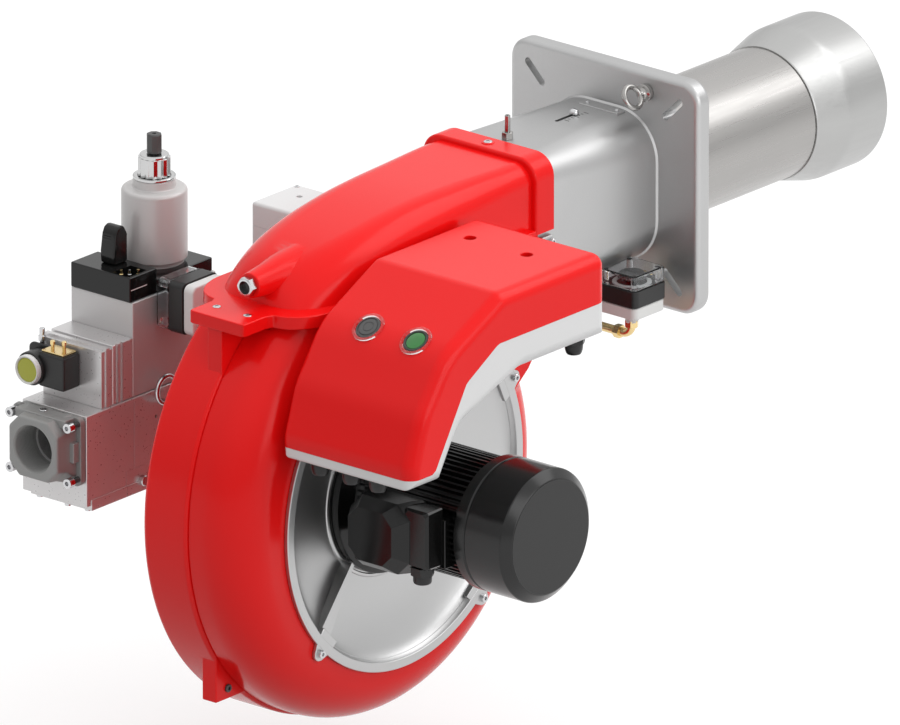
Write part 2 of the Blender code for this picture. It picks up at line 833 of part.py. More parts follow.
def make_control_box():
    line = parting_line()
    above = line + [(-300, 200), (-800, 200)]
    below = [(y, z - FIT) for y, z in line] + [(-300, -300), (-800, -300)]
    for name, region, slot in (("control_cover", above, "red_paint"), ("control_base", below, "grey_plastic")):
        body = prism(name, box_profile(), BOX_X0, BOX_X1, "X")
        soften(body, 15, 3, 12)
        common(body, prism("region", region, 0, 400, "X"))
        hollow = prism("hollow", inset(box_profile(), BOX_WALL), BOX_X0 + BOX_WALL, BOX_X1 - BOX_WALL, "X")
        soften(hollow, 12, 2, 12)
        if name == "control_base":
            stands = [box("stand", (SCROLL_RIGHT + FIT, BOX_X0 + 12), (y - 9, y + 9), (-21, -6)) for y in (-420, -560)]
            cut(body, hollow)
            fuse(body, *stands)
            cut(body, *[cylinder("hole", "Z", x, y, 5.8, z - 20, z + 30, 16) for x, y, z in GLANDS])
        else:
            cutters = [hollow]
            for x in BUTTONS_X:
                well = cylinder("well", "Z", x, 0, BUTTON_R + RUN / 2, -20, 20, 32)
                cutters.append(aim(well))
            for x, y in ((228, -420), (138, -442)):
                cutters.append(cylinder("screw_hole", "Z", x, y, 6, BOX_TOP - 20, BOX_TOP + 5, 24))
            cut(body, *cutters)
        paint(body, slot)
    for number, (x, y, z) in enumerate(GLANDS):
        gland = turned(
            "gland_" + str(number + 1),
            "Z",
            x,
            y,
            [(0, z - 22), (7, z - 22), (8, z - 18), (10, z - 10), (10, z - FIT), (5.5, z - FIT), (5.5, z + 9), (0, z + 9)],
            12,
        )
        paint(gland, "black_plastic")


def aim(obj):
    """Stands a piece drawn round the Z axis at the origin on the sloping face, at the buttons' height."""
    (y0, z0), (y1, z1) = box_profile()[1], box_profile()[2]
    slope = math.atan2(z0 - z1, y0 - y1)
    middle = Vector((0, y0 + (y1 - y0) * BUTTON_AT, z0 + (z1 - z0) * BUTTON_AT)) * MM
    obj.data.transform(Matrix.Translation(middle) @ Matrix.Rotation(slope, 4, "X"))
    return obj


def make_buttons():
    for name, x, slot in (("reset_button", BUTTONS_X[0], "grey_plastic"), ("flame_button", BUTTONS_X[1], "green_lens")):
        button = turned(
            name,
            "Z",
            x,
            0,
            [(0, 2.5), (BUTTON_R - 2, 2.5), (BUTTON_R, 1.5), (BUTTON_R, -8), (6, -8), (6, -24), (0, -24)],
            24,
        )
        aim(button)
        paint(button, slot)
        # the switch block behind holds the button by its stem
        block = box(name.split("_")[0] + "_switch", (x - 14, x + 14), (-14, 14), (-46, -14))
        cut(block, cylinder("hole", "Z", x, 0, 6.5, -40, 0, 24))
        bridge = box("bridge", (x - 14, x + 14), (14, 24), (-46, -BOX_WALL - FIT))
        fuse(block, bridge)
        aim(block)
        paint(block, "black_plastic")


def make_switch(prefix, centre, faces, stub_at):
    """Pressure switch of 54 mm: pale base, black body, clear cover and dial. It is drawn upright, then turned."""
    half = 27.0
    parts = []
    base = prism(prefix + "_base", rounded(half - 1, half - 1, 6, 3), -26, -12, "Z")
    stub = cylinder("stub", "Z", stub_at[0], stub_at[1], 8, -32, -25, 20)
    fuse(base, stub)
    parts.append(paint(base, "white_plastic"))
    body = prism(prefix + "_body", rounded(half, half, 6, 3), -12 + FIT, 8, "Z")
    column = cylinder("column", "Z", 0, 0, 5, 7, 14, 20)
    fuse(body, column)
    parts.append(paint(body, "black_plastic"))
    dial = turned(
        prefix + "_dial",
        "Z",
        0,
        0,
        [(0, 14 + FIT), (15, 14 + FIT), (15, 17), (14, 18.5), (0, 18.5)],
        20,
    )
    parts.append(paint(dial, "grey_plastic"))
    cover = prism(prefix + "_cover", rounded(half - 0.5, half - 0.5, 6, 3), 8 + FIT, 26, "Z")
    soften(cover, 2.5, 2)
    cut(cover, prism("hollow", rounded(half - 3, half - 3, 4, 3), 6, 23.5, "Z"))
    parts.append(paint(cover, "clear_plastic"))
    for part in parts:
        part.data.transform(Matrix.Translation(Vector(centre) * MM) @ faces)
    pivot_at(dial, centre)


def make_gas_train():
    x0, x1 = GAS_X - VALVE_W, GAS_X + VALVE_W
    lower = box("valve_body", (x0, x1), (VALVE_FRONT, VALVE_BACK), (-298, -182))
    soften(lower, 4, 2)
    foot_plate = box("foot", (x0 + 6, x1 + 10), (VALVE_FRONT + 8, VALVE_BACK - 60), (-304, -290))
    fuse(lower, foot_plate)
    passage = cylinder("passage", "Y", GAS_X, GAS_Z, BORE_R - 3, VALVE_FRONT - 20, VALVE_BACK + 20)
    cut(lower, passage)
    paint(lower, "cast_aluminium")

    upper = box("valve_upper", (x0 + 2, x1 - 2), (-603, VALVE_BACK), (-182 + FIT, -62))
    step = box("step", (x0 + 2, x1 - 2), (-659, -600), (-182 + FIT, -106))
    fuse(upper, step)
    soften(upper, 3, 2)
    paint(upper, "cast_aluminium")

    terminal = box("valve_terminals", (x0 + 4, x1 - 4), (-606, -556), (-62 + FIT, -30))
    wing = box("wing", (x0 + 4, x1 - 4), (-560, VALVE_BACK - 4), (-62 + FIT, -44))
    fuse(terminal, wing)
    soften(terminal, 3, 2)
    paint(terminal, "black_plastic")

    coil = turned(
        "solenoid",
        "Z",
        GAS_X,
        -506,
        [(0, -44 + FIT), (40, -44 + FIT), (40, 40), (37, 44), (26, 44), (26, 56), (24, 58), (0, 58)],
        32,
    )
    cut(coil, cylinder("socket", "Z", GAS_X, -506, 9, 20, 80, 24))
    paint(coil, "white_plastic")

    cap_points = []
    for i in range(14):
        for offset, radius in ((-0.30, 18.4), (-0.12, 20), (0.12, 20), (0.30, 18.4)):
            angle = 2 * math.pi * (i + offset) / 14
            cap_points.append((GAS_X + radius * math.cos(angle), -506 + radius * math.sin(angle)))
    cap = prism("adjuster_cap", cap_points, 58 + FIT, 86, "Z")
    top = turned("top", "Z", GAS_X, -506, [(0, 85), (18, 85), (18, 88), (14, 93), (0, 93)], 28)
    stem = cylinder("stem", "Z", GAS_X, -506, 8.5, 30, 60, 24)
    fuse(cap, top, stem)
    cut(cap, cylinder("socket", "Z", GAS_X, -506, 6 + FIT, 80, 100, 24))
    pivot_at(paint(cap, "steel"), (GAS_X, -506, 58))
    pin = turned(
        "adjuster_pin",
        "Z",
        GAS_X,
        -506,
        [(0, 80 + FIT), (6, 80 + FIT), (6, 93 + FIT), (9.5, 93 + FIT), (9.5, 115), (8, 117), (0, 117)],
        6,
    )
    pivot_at(paint(pin, "steel"), (GAS_X, -506, 58))

    plug = box("solenoid_plug", (-338, -316), (-585, -560), (-30 + FIT, 18))
    soften(plug, 5, 3)
    paint(plug, "black_plastic")

    front = VALVE_FRONT - FIT
    face = -731.0
    inlet = prism("gas_inlet", rounded(50, 46, 12, 4, GAS_X, GAS_Z), front - 22, front, "Y")
    neck = turned("neck", "Y", GAS_X, GAS_Z, [(0, face), (38, face), (40, face + 2), (41, front - 10), (0, front - 10)], 32)
    fuse(inlet, neck)
    cut(inlet, cylinder("bore", "Y", GAS_X, GAS_Z, BORE_R, face - 10, front + 10, 32))
    paint(inlet, "cast_aluminium")

    cube = box("valve_plug", (-326, -286), (-690, -659 - FIT), (-160, -118))
    soften(cube, 4, 2)
    lens_seat = cylinder("seat", "Y", -336, -140, 21, -694, -672, 32)
    arm = box("arm", (-345, -320), (-690, -672), (-150, -128))
    fuse(cube, lens_seat, arm)
    paint(cube, "black_plastic")
    lens = turned(
        "indicator_lens",
        "Y",
        -336,
        -140,
        [(0, -694 - FIT), (18, -694 - FIT), (18, -698), (14, -701), (0, -702)],
        20,
    )
    paint(lens, "glass")

    outlet = [(GAS_X, VALVE_BACK + FIT, GAS_Z), (GAS_X, MANIFOLD_Y, GAS_Z), (MANIFOLD_X, MANIFOLD_Y, GAS_Z),
              (MANIFOLD_X, MANIFOLD_Y, -HEAD_H - FIT)]
    pipe = bent_tube("gas_manifold", outlet, PIPE_R, 62, PIPE_R - 3.5, 18, 3)
    flange = prism("flange", rounded(48, 46, 12, 4, GAS_X, GAS_Z), VALVE_BACK + FIT, VALVE_BACK + 16, "Y")
    cut(flange, cylinder("hole", "Y", GAS_X, GAS_Z, PIPE_R - 1.5, VALVE_BACK - 10, VALVE_BACK + 30, 20))
    top = prism("top", rounded(40, 38, 10, 4, MANIFOLD_X, MANIFOLD_Y), -HEAD_H - 12, -HEAD_H - FIT, "Z")
    cut(top, cylinder("hole", "Z", MANIFOLD_X, MANIFOLD_Y, PIPE_R - 1.5, -120, -80, 20))
    fuse(pipe, flange, top)
    paint(pipe, "steel")

    eye = ring("valve_eye", (x1 + 11, -557, -181), (1, 0, 0), 17, 3)
    shank = cylinder("shank", "X", -557, -198, 4, x1 + FIT, x1 + 12, 12)
    fuse(eye, shank)
    paint(eye, "steel")


def make_intake():
    """Air box over the fan eye on the side away from the motor, with its damper and servomotor."""
    outline = [(-600, -370), (-368, -370), (-368, -66), (-540, -66), (-600, -160)]
    x0, x1 = -184.0, SCROLL_LEFT - FIT
    body = prism("intake_box", outline, x0, x1, "X")
    soften(body, 5, 2)
    hollow = prism("hollow", inset(outline, 4), x0 + 4, x1 - 4, "X")
    mouth = box("mouth", (x0 + 4, x1 - 4), (-380, -360), (-366, -70))
    eye = cylinder("eye", "X", AXIS_Y, AXIS_Z, EYE_R - 4, x1 - 10, x1 + 10, 48)
    cut(body, hollow, mouth, eye, cylinder("bearing", "Z", DAMPER_X, DAMPER_Y, 6 + 0.4, -90, -40, 24))
    bars = [box("bar", (x0 + 1, x1 - 1), (-376, -371), (z, z + 3)) for z in range(-345, -90, 60)]
    fuse(body, *bars)
    paint(body, "cast_aluminium")

    blade = box("damper_blade", (DAMPER_X - 41, DAMPER_X + 41), (DAMPER_Y - 1.5, DAMPER_Y + 1.5), (-364.5, -72))
    shaft = cylinder("shaft", "Z", DAMPER_X, DAMPER_Y, 6, -364.5, -50, 20)
    fuse(blade, shaft)
    pivot_at(paint(blade, "steel"), (DAMPER_X, DAMPER_Y, -200))

    servo = box("servomotor", (-186, -LEDGE_W - 2), (-461, -377), (-66 + FIT, 44))
    soften(servo, 5, 2)
    cut(servo, cylinder("socket", "Z", DAMPER_X, DAMPER_Y, 6.5, -80, -45, 24))
    paint(servo, "grey_plastic")


def make_combustion_head():
    """Gas pipe, diffuser and electrode, which slide along the head together with the index screw."""
    floor = -HEAD_H + WALL
    chamber = turned("gas_elbow", "Y", 0, 0, [(0, -214), (34, -214), (36, -210), (36, -134), (34, -130), (0, -130)], 28)
    riser = cylinder("riser", "Z", MANIFOLD_X, MANIFOLD_Y, 24, floor + FIT, 0, 24)
    fuse(chamber, riser)
    hollow = cylinder("hollow", "Y", 0, 0, 30, -208, -150, 24)
    drill = cylinder("drill", "Z", MANIFOLD_X, MANIFOLD_Y, 20, floor - 5, 0, 24)
    socket = cylinder("socket", "Y", 0, 0, 22 + FIT, -160, -120, 32)
    cut(chamber, hollow, drill, socket)
    paint(chamber, "cast_aluminium")

    lance = turned(
        "gas_lance",
        "Y",
        0,
        0,
        [(19, -170), (22, -170), (22, 300), (38, 316), (38, 340), (35, 340), (35, 318), (19, 302)],
        32,
    )
    pivot_at(paint(lance, "steel"), (0, 0, 0))
    disc = turned(
        "diffuser_disc",
        "Y",
        0,
        0,
        [(38 + FIT, 322), (70, 334), (70, 337), (38 + FIT, 325)],
        32,
    )
    slots = []
    for i in range(8):
        slot = box("slot", (46, 64), (310, 350), (-2, 2))
        slot.data.transform(Matrix.Rotation(2 * math.pi * i / 8, 4, "Y"))
        slots.append(slot)
    cut(disc, *slots, cylinder("lead", "Y", 0, 50, 4.5, 300, 360, 16))
    pivot_at(paint(disc, "steel"), (0, 0, 0))

    rod = bent_tube("electrode", [(0, -60, 30), (0, 280, 30), (0, 306, 50), (0, 352, 50)], 2, 12, None, 10, 3)
    insulator = cylinder("insulator", "Y", 0, 30, 5, 60, 160, 16)
    clip = box("clip", (-3, 3), (90, 110), (22 + FIT, 29))
    fuse(rod, insulator, clip)
    pivot_at(paint(rod, "white_plastic"), (0, 0, 0))

    index = turned(
        "index_screw",
        "Z",
        0,
        INDEX_Y,
        [(0, 22 + FIT), (2, 22 + FIT), (2, HEAD_H + FIT), (6, HEAD_H + FIT), (6, HEAD_H + 5), (4.5, HEAD_H + 7), (0, HEAD_H + 7)],
        20,
    )
    pivot_at(paint(index, "steel"), (0, 0, 0))


def make_fittings():
    eye = ring("eyebolt", (EYE_X, -FLANGE_T - 27, EYE_Z), (0.86, 0, 0.5), 13.5, 3.4)
    eye_shank = turned(
        "shank",
        "Y",
        EYE_X,
        EYE_Z,
        [(0, -FLANGE_T - 14), (5, -FLANGE_T - 14), (7, -FLANGE_T - 8), (11, -FLANGE_T - 7), (11, -FLANGE_T - FIT),
         (0, -FLANGE_T - FIT)],
        16,
    )
    fuse(eye, eye_shank)
    paint(eye, "steel")
    x, y, z = AIR_SWITCH
    port = [(x, y, z - 32 - FIT), (x, y, z - 52), (30, y, z - 52), (30, y, -HEAD_H - FIT)]
    paint(bent_tube("air_switch_elbow", port, 5.5, 14, None, 12, 3), "brass")
    nipple = turned(
        "pressure_nipple",
        "Z",
        -4,
        -200,
        [(0, HEAD_H + FIT), (6.5, HEAD_H + FIT), (6.5, HEAD_H + 8), (3.5, HEAD_H + 9), (3.5, HEAD_H + 30), (1.6, HEAD_H + 30),
         (1.6, HEAD_H + 6), (0, HEAD_H + 6)],
        12,
    )
    paint(nipple, "brass")


AIR_SWITCH = (94.0, -84.0, -112.0)
GAS_SWITCH = (-216.3, -535.0, -70.0)
EYE_X = 68.0
EYE_Z = 124.0
MANIFOLD_X = -36.0
MANIFOLD_Y = -184.0
INDEX_Y = -80.0
INDEX_RUN = 32.0
DAMPER_X = -134.0
DAMPER_Y = -419.0
GLANDS = ((130, -704, -140), (178, -704, -140), (220, -704, -140), (268, -400, -39))
BUTTONS_X = (152.0, 226.0)
BUTTON_R = 13.0
BUTTON_AT = 0.62

clear_scene()
make_head()
make_tubes()
make_scroll()
make_duct()
make_motor_plate()
make_fan()
make_motor()
make_control_box()
make_buttons()
make_switch("air_switch", AIR_SWITCH, Matrix.Identity(4), (0, 0))
sideways = Matrix.Rotation(math.radians(-90), 4, "Y") @ Matrix.Rotation(math.radians(90), 4, "Z")
make_switch("gas_switch", GAS_SWITCH, sideways, (0, 12))
make_gas_train()
make_intake()
make_combustion_head()
make_fittings()
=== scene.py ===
"""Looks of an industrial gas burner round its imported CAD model.

Sizes are in millimetres until MM, in the CAD's frame: +Y fires into the boiler, +X is the motor side, +Z is up,
and the origin is the centre of the flange's boiler face."""

import math
from contextlib import contextmanager

import bmesh
import bpy
from mathutils import Matrix, Vector


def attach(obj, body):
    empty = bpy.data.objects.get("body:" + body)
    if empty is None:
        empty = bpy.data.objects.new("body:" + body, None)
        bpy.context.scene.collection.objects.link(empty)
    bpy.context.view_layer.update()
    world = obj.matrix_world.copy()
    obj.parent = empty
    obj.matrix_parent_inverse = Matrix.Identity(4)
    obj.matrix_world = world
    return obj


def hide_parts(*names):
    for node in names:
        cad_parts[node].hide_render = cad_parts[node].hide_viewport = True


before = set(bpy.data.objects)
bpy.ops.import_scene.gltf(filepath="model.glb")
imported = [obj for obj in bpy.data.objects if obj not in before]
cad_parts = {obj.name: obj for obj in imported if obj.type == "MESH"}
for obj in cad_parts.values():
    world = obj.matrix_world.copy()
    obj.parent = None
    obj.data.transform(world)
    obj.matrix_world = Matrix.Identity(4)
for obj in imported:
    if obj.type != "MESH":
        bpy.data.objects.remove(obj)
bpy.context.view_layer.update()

MM = 0.001
FIT = 0.3  # gap between neighbours
GAS_X, GAS_Z = -300.0, -224.0
AXIS_Y, AXIS_Z = -502.0, -254.0
SPLIT = 8.0  # where the duct cover lies on the scroll
LEDGE_T = 8.0  # thickness of its rim
HEAD_BACK = -250.0  # rear end of the head casting
HEAD_H = 95.0  # half the height of its neck
SIGHT_X = 8.0
RISER_X, RISER_Y = -36, -184
HINGE_X, HINGE_Y = -134, -419

# Lines on which turned pieces stand: the axis, and the place across it.
FAN = ("X", AXIS_Y, AXIS_Z)
BLAST = ("Y", 0, 0)
SIGHT = ("Y", SIGHT_X, 44)
PASSAGE = ("Y", GAS_X, GAS_Z)
INDICATOR = ("Y", -336, -140)
COIL = ("Z", GAS_X, -506)
RISER = ("Z", RISER_X, RISER_Y)
HINGE = ("Z", HINGE_X, HINGE_Y)
UPRIGHT = ("Z", 0, 0)


# ---------------------------------------------------------------- shapes


def new_object(name, work):
    bmesh.ops.recalc_face_normals(work, faces=work.faces)
    mesh = bpy.data.meshes.new(name)
    work.to_mesh(mesh)
    work.free()
    obj = bpy.data.objects.new(name, mesh)
    bpy.context.scene.collection.objects.link(obj)
    return obj


@contextmanager
def editing(obj):
    work = bmesh.new()
    work.from_mesh(obj.data)
    yield work
    work.to_mesh(obj.data)
    work.free()


def place(axis, u, v, along):
    if axis == "X":
        return (along * MM, u * MM, v * MM)
    if axis == "Y":
        return (u * MM, along * MM, v * MM)
    return (u * MM, v * MM, along * MM)


def skin(work, low, high):
    """Faces between two closed rows of vertices. A row of one vertex is a tip."""
    count = max(len(low), len(high))
    for i in range(count):
        j = (i + 1) % count
        ring = [low[i % len(low)], low[j % len(low)], high[j % len(high)], high[i % len(high)]]
        corners = list(dict.fromkeys(ring))
        if len(corners) > 2:
            work.faces.new(corners)


def loft(name, rings, axis="X"):
    """Closed body through rings, each (distance along the axis, points)."""
    work = bmesh.new()
    rows = [[work.verts.new(place(axis, u, v, along)) for u, v in points] for along, points in rings]
    for low, high in zip(rows, rows[1:]):
        skin(work, low, high)
    work.faces.new(rows[0])
    work.faces.new(rows[-1])
    return new_object(name, work)


def prism(name, points, low, high, axis="X"):
    return loft(name, [(low, points), (high, points)], axis)


def box(name, x, y, z):
    return prism(name, [(x[0], y[0]), (x[1], y[0]), (x[1], y[1]), (x[0], y[1])], z[0], z[1], "Z")


def circle(u, v, radius, count=64, start=0.0):
    turn = 2 * math.pi / count
    angles = [start + i * turn for i in range(count)]
    return [(u + radius * math.cos(a), v + radius * math.sin(a)) for a in angles]


def quarter(steps):
    """Cosine and sine of the angles from 0 to 90 degrees."""
    angles = [math.pi / 2 * i / steps for i in range(steps + 1)]
    return [(math.cos(a), math.sin(a)) for a in angles]


def fluted(u, v, count, flute):
    """Closed outline of a round piece with equal ribs. Flute holds one rib's (share of its angle, radius)."""
    corners = [(2 * math.pi * (i + offset) / count, radius) for i in range(count) for offset, radius in flute]
    return [(u + radius * math.cos(a), v + radius * math.sin(a)) for a, radius in corners]


def rounded(half_u, half_v, radius, steps=12, u=0.0, v=0.0):
    points = []
    for turn, (su, sv) in enumerate(((1, 1), (-1, 1), (-1, -1), (1, -1))):
        for step in range(steps + 1):
            angle = math.pi / 2 * (turn + step / steps)
            points.append((u + su * (half_u - radius) + radius * math.cos(angle),
                v + sv * (half_v - radius) + radius * math.sin(angle)))
    return points


def cylinder(name, axis, u, v, radius, low, high, count=48):
    return prism(name, circle(u, v, radius, count), low, high, axis)


def turned(name, axis, u, v, profile, count=96, start=0.0):
    """Body of revolution round a line along the axis. The profile is closed: (radius, distance along the axis)."""
    work = bmesh.new()
    rows = []
    for radius, along in profile:
        points = [(u, v)] if radius < 1e-6 else circle(u, v, radius, count, start)
        rows.append([work.verts.new(place(axis, a, b, along)) for a, b in points])
    for low, high in zip(rows, rows[1:] + rows[:1]):
        skin(work, low, high)
    return new_object(name, work)


def settle(obj):
    graph = bpy.context.evaluated_depsgraph_get()
    mesh = bpy.data.meshes.new_from_object(obj.evaluated_get(graph))
    obj.modifiers.clear()
    obj.data = mesh
    return obj


def soften(obj, width, segments=4, angle=30):
    bevel = obj.modifiers.new("soft_edges", "BEVEL")
    bevel.width = width * MM
    bevel.segments = segments
    bevel.limit_method = "ANGLE"
    bevel.angle_limit = math.radians(angle)
    bevel.use_clamp_overlap = True
    return settle(obj)


def combine(obj, others, operation):
    for other in others:
        step = obj.modifiers.new(operation.lower(), "BOOLEAN")
        step.operation = operation
        step.solver = "EXACT"
        step.object = other
        settle(obj)
        bpy.data.objects.remove(other, do_unlink=True)
    with editing(obj) as work:
        bmesh.ops.remove_doubles(work, verts=work.verts, dist=2e-6)
        bmesh.ops.dissolve_degenerate(work, edges=work.edges, dist=1e-6)
    return obj


def cut(obj, *others):
    return combine(obj, others, "DIFFERENCE")


def fuse(obj, *others):
    return combine(obj, others, "UNION")


def common(obj, *others):
    return combine(obj, others, "INTERSECT")


def join(name, pieces):
    """Puts pieces that touch nothing of each other into one object, with no Boolean."""
    obj = pieces[0]
    with editing(obj) as work:
        for other in pieces[1:]:
            work.from_mesh(other.data)
            bpy.data.objects.remove(other, do_unlink=True)
    obj.name = name
    return obj


def move(obj, x, y, z):
    obj.data.transform(Matrix.Translation(Vector((x, y, z)) * MM))
    return obj


def inset(points, distance):
    """The polygon moved inwards by a distance, or by one distance for each point."""
    area = sum(a[0] * b[1] - b[0] * a[1] for a, b in zip(points, points[1:] + points[:1]))
    side = 1.0 if area > 0 else -1.0
    result = []
    for i, point in enumerate(points):
        depth = distance[i] if isinstance(distance, list) else distance
        before, after = points[i - 1], points[(i + 1) % len(points)]
        first = Vector((point[0] - before[0], point[1] - before[1])).normalized()
        second = Vector((after[0] - point[0], after[1] - point[1])).normalized()
        normals = [Vector((-d.y, d.x)) * side for d in (first, second)]
        middle = normals[0] + normals[1]
        shift = middle * (depth / max(middle.dot(normals[0]), 0.35))
        result.append((point[0] + shift.x, point[1] + shift.y))
    return result


def bent_tube(name, points, radius, bend, inner=None, sides=40, steps=14):
    """Tube through points with an arc at each corner, solid unless it has an inner radius."""
    path = [Vector(points[0])]
    for corner in zip(points, points[1:], points[2:]):
        before, here, after = map(Vector, corner)
        into, out = (here - before).normalized(), (after - here).normalized()
        half = into.angle(out) / 2
        centre = here + (out - into).normalized() * (bend / math.cos(half))
        spin = into.cross(out).normalized()
        start = here - into * (bend * math.tan(half)) - centre
        path += [centre + Matrix.Rotation(2 * half * step / steps, 3, spin) @ start for step in range(steps + 1)]
    path.append(Vector(points[-1]))
    last = len(path) - 1
    tangents = [(path[min(i + 1, last)] - path[max(i - 1, 0)]).normalized() for i in range(last + 1)]
    turns = [2 * math.pi * k / sides for k in range(sides)]
    work = bmesh.new()
    skins = []
    for size in [radius] + ([inner] if inner else []):
        side = tangents[0].orthogonal().normalized()
        rows = []
        for i, (centre, along) in enumerate(zip(path, tangents)):
            if i:
                side = tangents[i - 1].rotation_difference(along) @ side
            other = along.cross(side)
            ring = [(centre + (side * math.cos(t) + other * math.sin(t)) * size) * MM for t in turns]
            rows.append([work.verts.new(point) for point in ring])
        for low, high in zip(rows, rows[1:]):
            skin(work, low, high)
        skins.append(rows)
    for end in (0, -1):
        if inner:
            skin(work, skins[0][end], skins[1][end])
        else:
            work.faces.new(skins[0][end])
    return new_object(name, work)


def torus(name, centre, normal, radius, thickness, sides=24, count=72):
    spin = Vector(normal).to_track_quat("Z", "Y")
    work = bmesh.new()
    rows = []
    for i in range(count):
        a = 2 * math.pi * i / count
        row = []
        for k in range(sides):
            b = 2 * math.pi * k / sides
            reach = radius + thickness * math.cos(b)
            local = Vector((reach * math.cos(a), reach * math.sin(a), thickness * math.sin(b)))
            row.append(work.verts.new((Vector(centre) + spin @ local) * MM))
        rows.append(row)
    for low, high in zip(rows, rows[1:] + rows[:1]):
        skin(work, low, high)
    return new_object(name, work)


def stand(obj, base, direction):
    """Turns a piece drawn up the Z axis at the origin so that it stands on base and points along direction."""
    spin = Vector(direction).normalized().to_track_quat("Z", "Y").to_matrix().to_4x4()
    obj.data.transform(Matrix.Translation(Vector(base) * MM) @ spin)
    return obj


def socket_screw(name, base, direction, radius=4.5, height=4.5, sides=6):
    """Cap screw with a hexagon socket, standing on base."""
    profile = [(0, 0), (radius, 0), (radius, height - 0.6), (radius - 0.6, height), (0, height)]
    body = turned(name, *UPRIGHT, profile, 40)
    cut(body, cylinder("socket", *UPRIGHT, radius * 0.5, height * 0.35, height + 1, sides))
    return stand(body, base, direction)


def pan_screw(name, base, direction, radius=5.0, height=2.2):
    """Low round screw head with a cross slot."""
    profile = [(0, 0), (radius, 0), (radius, height * 0.3)]
    profile += [(radius * c, height * (0.3 + 0.7 * s)) for c, s in quarter(5)[1:]]
    profile[-1] = (0, height)
    body = turned(name, *UPRIGHT, profile, 40)
    long, short, deep = (-radius * 0.6, radius * 0.6), (-0.6, 0.6), (height * 0.45, height + 1)
    cut(body, box("arm", long, short, deep), box("arm", short, long, deep))
    return stand(body, base, direction)


def hex_nut(name, base, direction, across, height, bore=0.0, start=0.0):
    """Hexagon with its outer corners chamfered, and an optional bore."""
    radius = across / 2 / math.cos(math.pi / 6)
    body = prism(name, circle(0, 0, radius, 6, start), 0, height, "Z")
    profile = [(0, -1), (radius + 1, -1), (radius + 1, height - 1.6), (across / 2 - 0.4, height), (0, height)]
    common(body, turned("dress", *UPRIGHT, profile, 48))
    if bore:
        cut(body, cylinder("bore", *UPRIGHT, bore, -1, height + 1, 40))
    return stand(body, base, direction)


def dress(obj, material, node=None, angle=32, body="burner", slot=None, weighted=True):
    """Smooths a finished piece by angle, paints it, and mounts it on its body in place of a node of the CAD."""
    limit = math.radians(angle)
    with editing(obj) as work:
        bmesh.ops.remove_doubles(work, verts=work.verts, dist=1e-6)
        for face in work.faces:
            face.smooth = True
        for edge in work.edges:
            edge.smooth = len(edge.link_faces) == 2 and edge.calc_face_angle(0.0) < limit
    obj.data.materials.clear()
    obj.data.materials.append(material)
    if weighted:
        obj.modifiers.new("weighted_normals", "WEIGHTED_NORMAL").keep_sharp = True
    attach(obj, body)
    if node:
        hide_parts(node)
    return obj


def dress_row(name, make, places, direction, radius, height, material=None):
    """A row of equal screws or nuts, numbered from 0."""
    for i, base in enumerate(places):
        dress(make("%s_%d" % (name, i), base, direction, radius, height), material or SCREW)


# ---------------------------------------------------------------- materials


def add_node(tree, kind, inputs, **settings):
    """Adds a shader node. An input given as another node's output is linked, any other is set."""
    made = tree.nodes.new("ShaderNode" + kind)
    for key, value in settings.items():
        setattr(made, key, value)
    feed(tree, made, inputs)
    return made.outputs


def feed(tree, made, inputs):
    """Sets or links a node's inputs."""
    for key, value in inputs.items():
        if isinstance(value, bpy.types.NodeSocket):
            tree.links.new(value, made.inputs[key])
        else:
            made.inputs[key].default_value = value


def new_material(name):
    material = bpy.data.materials.new(name)
    material.use_nodes = True
    return material, material.node_tree, material.node_tree.nodes.get("Principled BSDF")


def scaled(base, factor):
    return [min(1.0, c * factor) for c in base] + [1]


def finish_of(name, base, metallic, roughness, vary=0.05, grain=600.0, depth=0.0, stretch=(1, 1, 1), tint=0.04,
              coat=0.0, spots=0.0, patch=9.0, shine=0.5):
    """Principled material whose colour, roughness and surface vary by noise in object space.

    grain is the noise scale per metre, depth the bump height in mm, and stretch scales the noise along each axis."""
    material, tree, shader = new_material(name)
    here = add_node(tree, "TexCoord", {})["Object"]
    large = add_node(tree, "TexNoise", {"Scale": patch, "Detail": 3.0, "Vector": here})["Fac"]
    stretched = add_node(tree, "Mapping", {"Scale": stretch, "Vector": here})["Vector"]
    fine = add_node(tree, "TexNoise", {"Scale": grain, "Detail": 4.0, "Vector": stretched})["Fac"]
    shades = {"A": scaled(base, 1 - tint), "B": scaled(base, 1 + tint), "Factor": large}
    colour = add_node(tree, "Mix", shades, data_type="RGBA")["Result"]
    if spots:
        levels = {"From Min": 0.60, "From Max": 0.72, "To Max": spots, "Value": fine}
        speck = add_node(tree, "MapRange", levels)["Result"]
        dark = {"B": scaled(base, 0.55), "Factor": speck, "A": colour}
        colour = add_node(tree, "Mix", dark, data_type="RGBA")["Result"]
    low, high = max(0.02, roughness - vary), roughness + vary
    spread = {"From Min": 0.3, "From Max": 0.7, "To Min": low, "To Max": high, "Value": fine}
    feed(tree, shader, {"Metallic": metallic, "Coat Weight": coat, "Specular IOR Level": shine, "Coat Roughness": 0.06,
                        "Base Color": colour, "Roughness": add_node(tree, "MapRange", spread)["Result"]})
    if depth:
        bump = add_node(tree, "Bump", {"Strength": 1.0, "Distance": depth * MM, "Height": fine})
        feed(tree, shader, {"Normal": bump["Normal"]})
    return material


def clear_of(name, colour, roughness=0.03):
    material, tree, shader = new_material(name)
    noise = add_node(tree, "TexNoise", {"Scale": 40.0})["Fac"]
    level = add_node(tree, "MapRange", {"To Min": roughness * 0.6, "To Max": roughness * 1.6, "Value": noise})["Result"]
    feed(tree, shader, {"Base Color": colour, "Transmission Weight": 1.0, "IOR": 1.4, "Roughness": level})
    return material


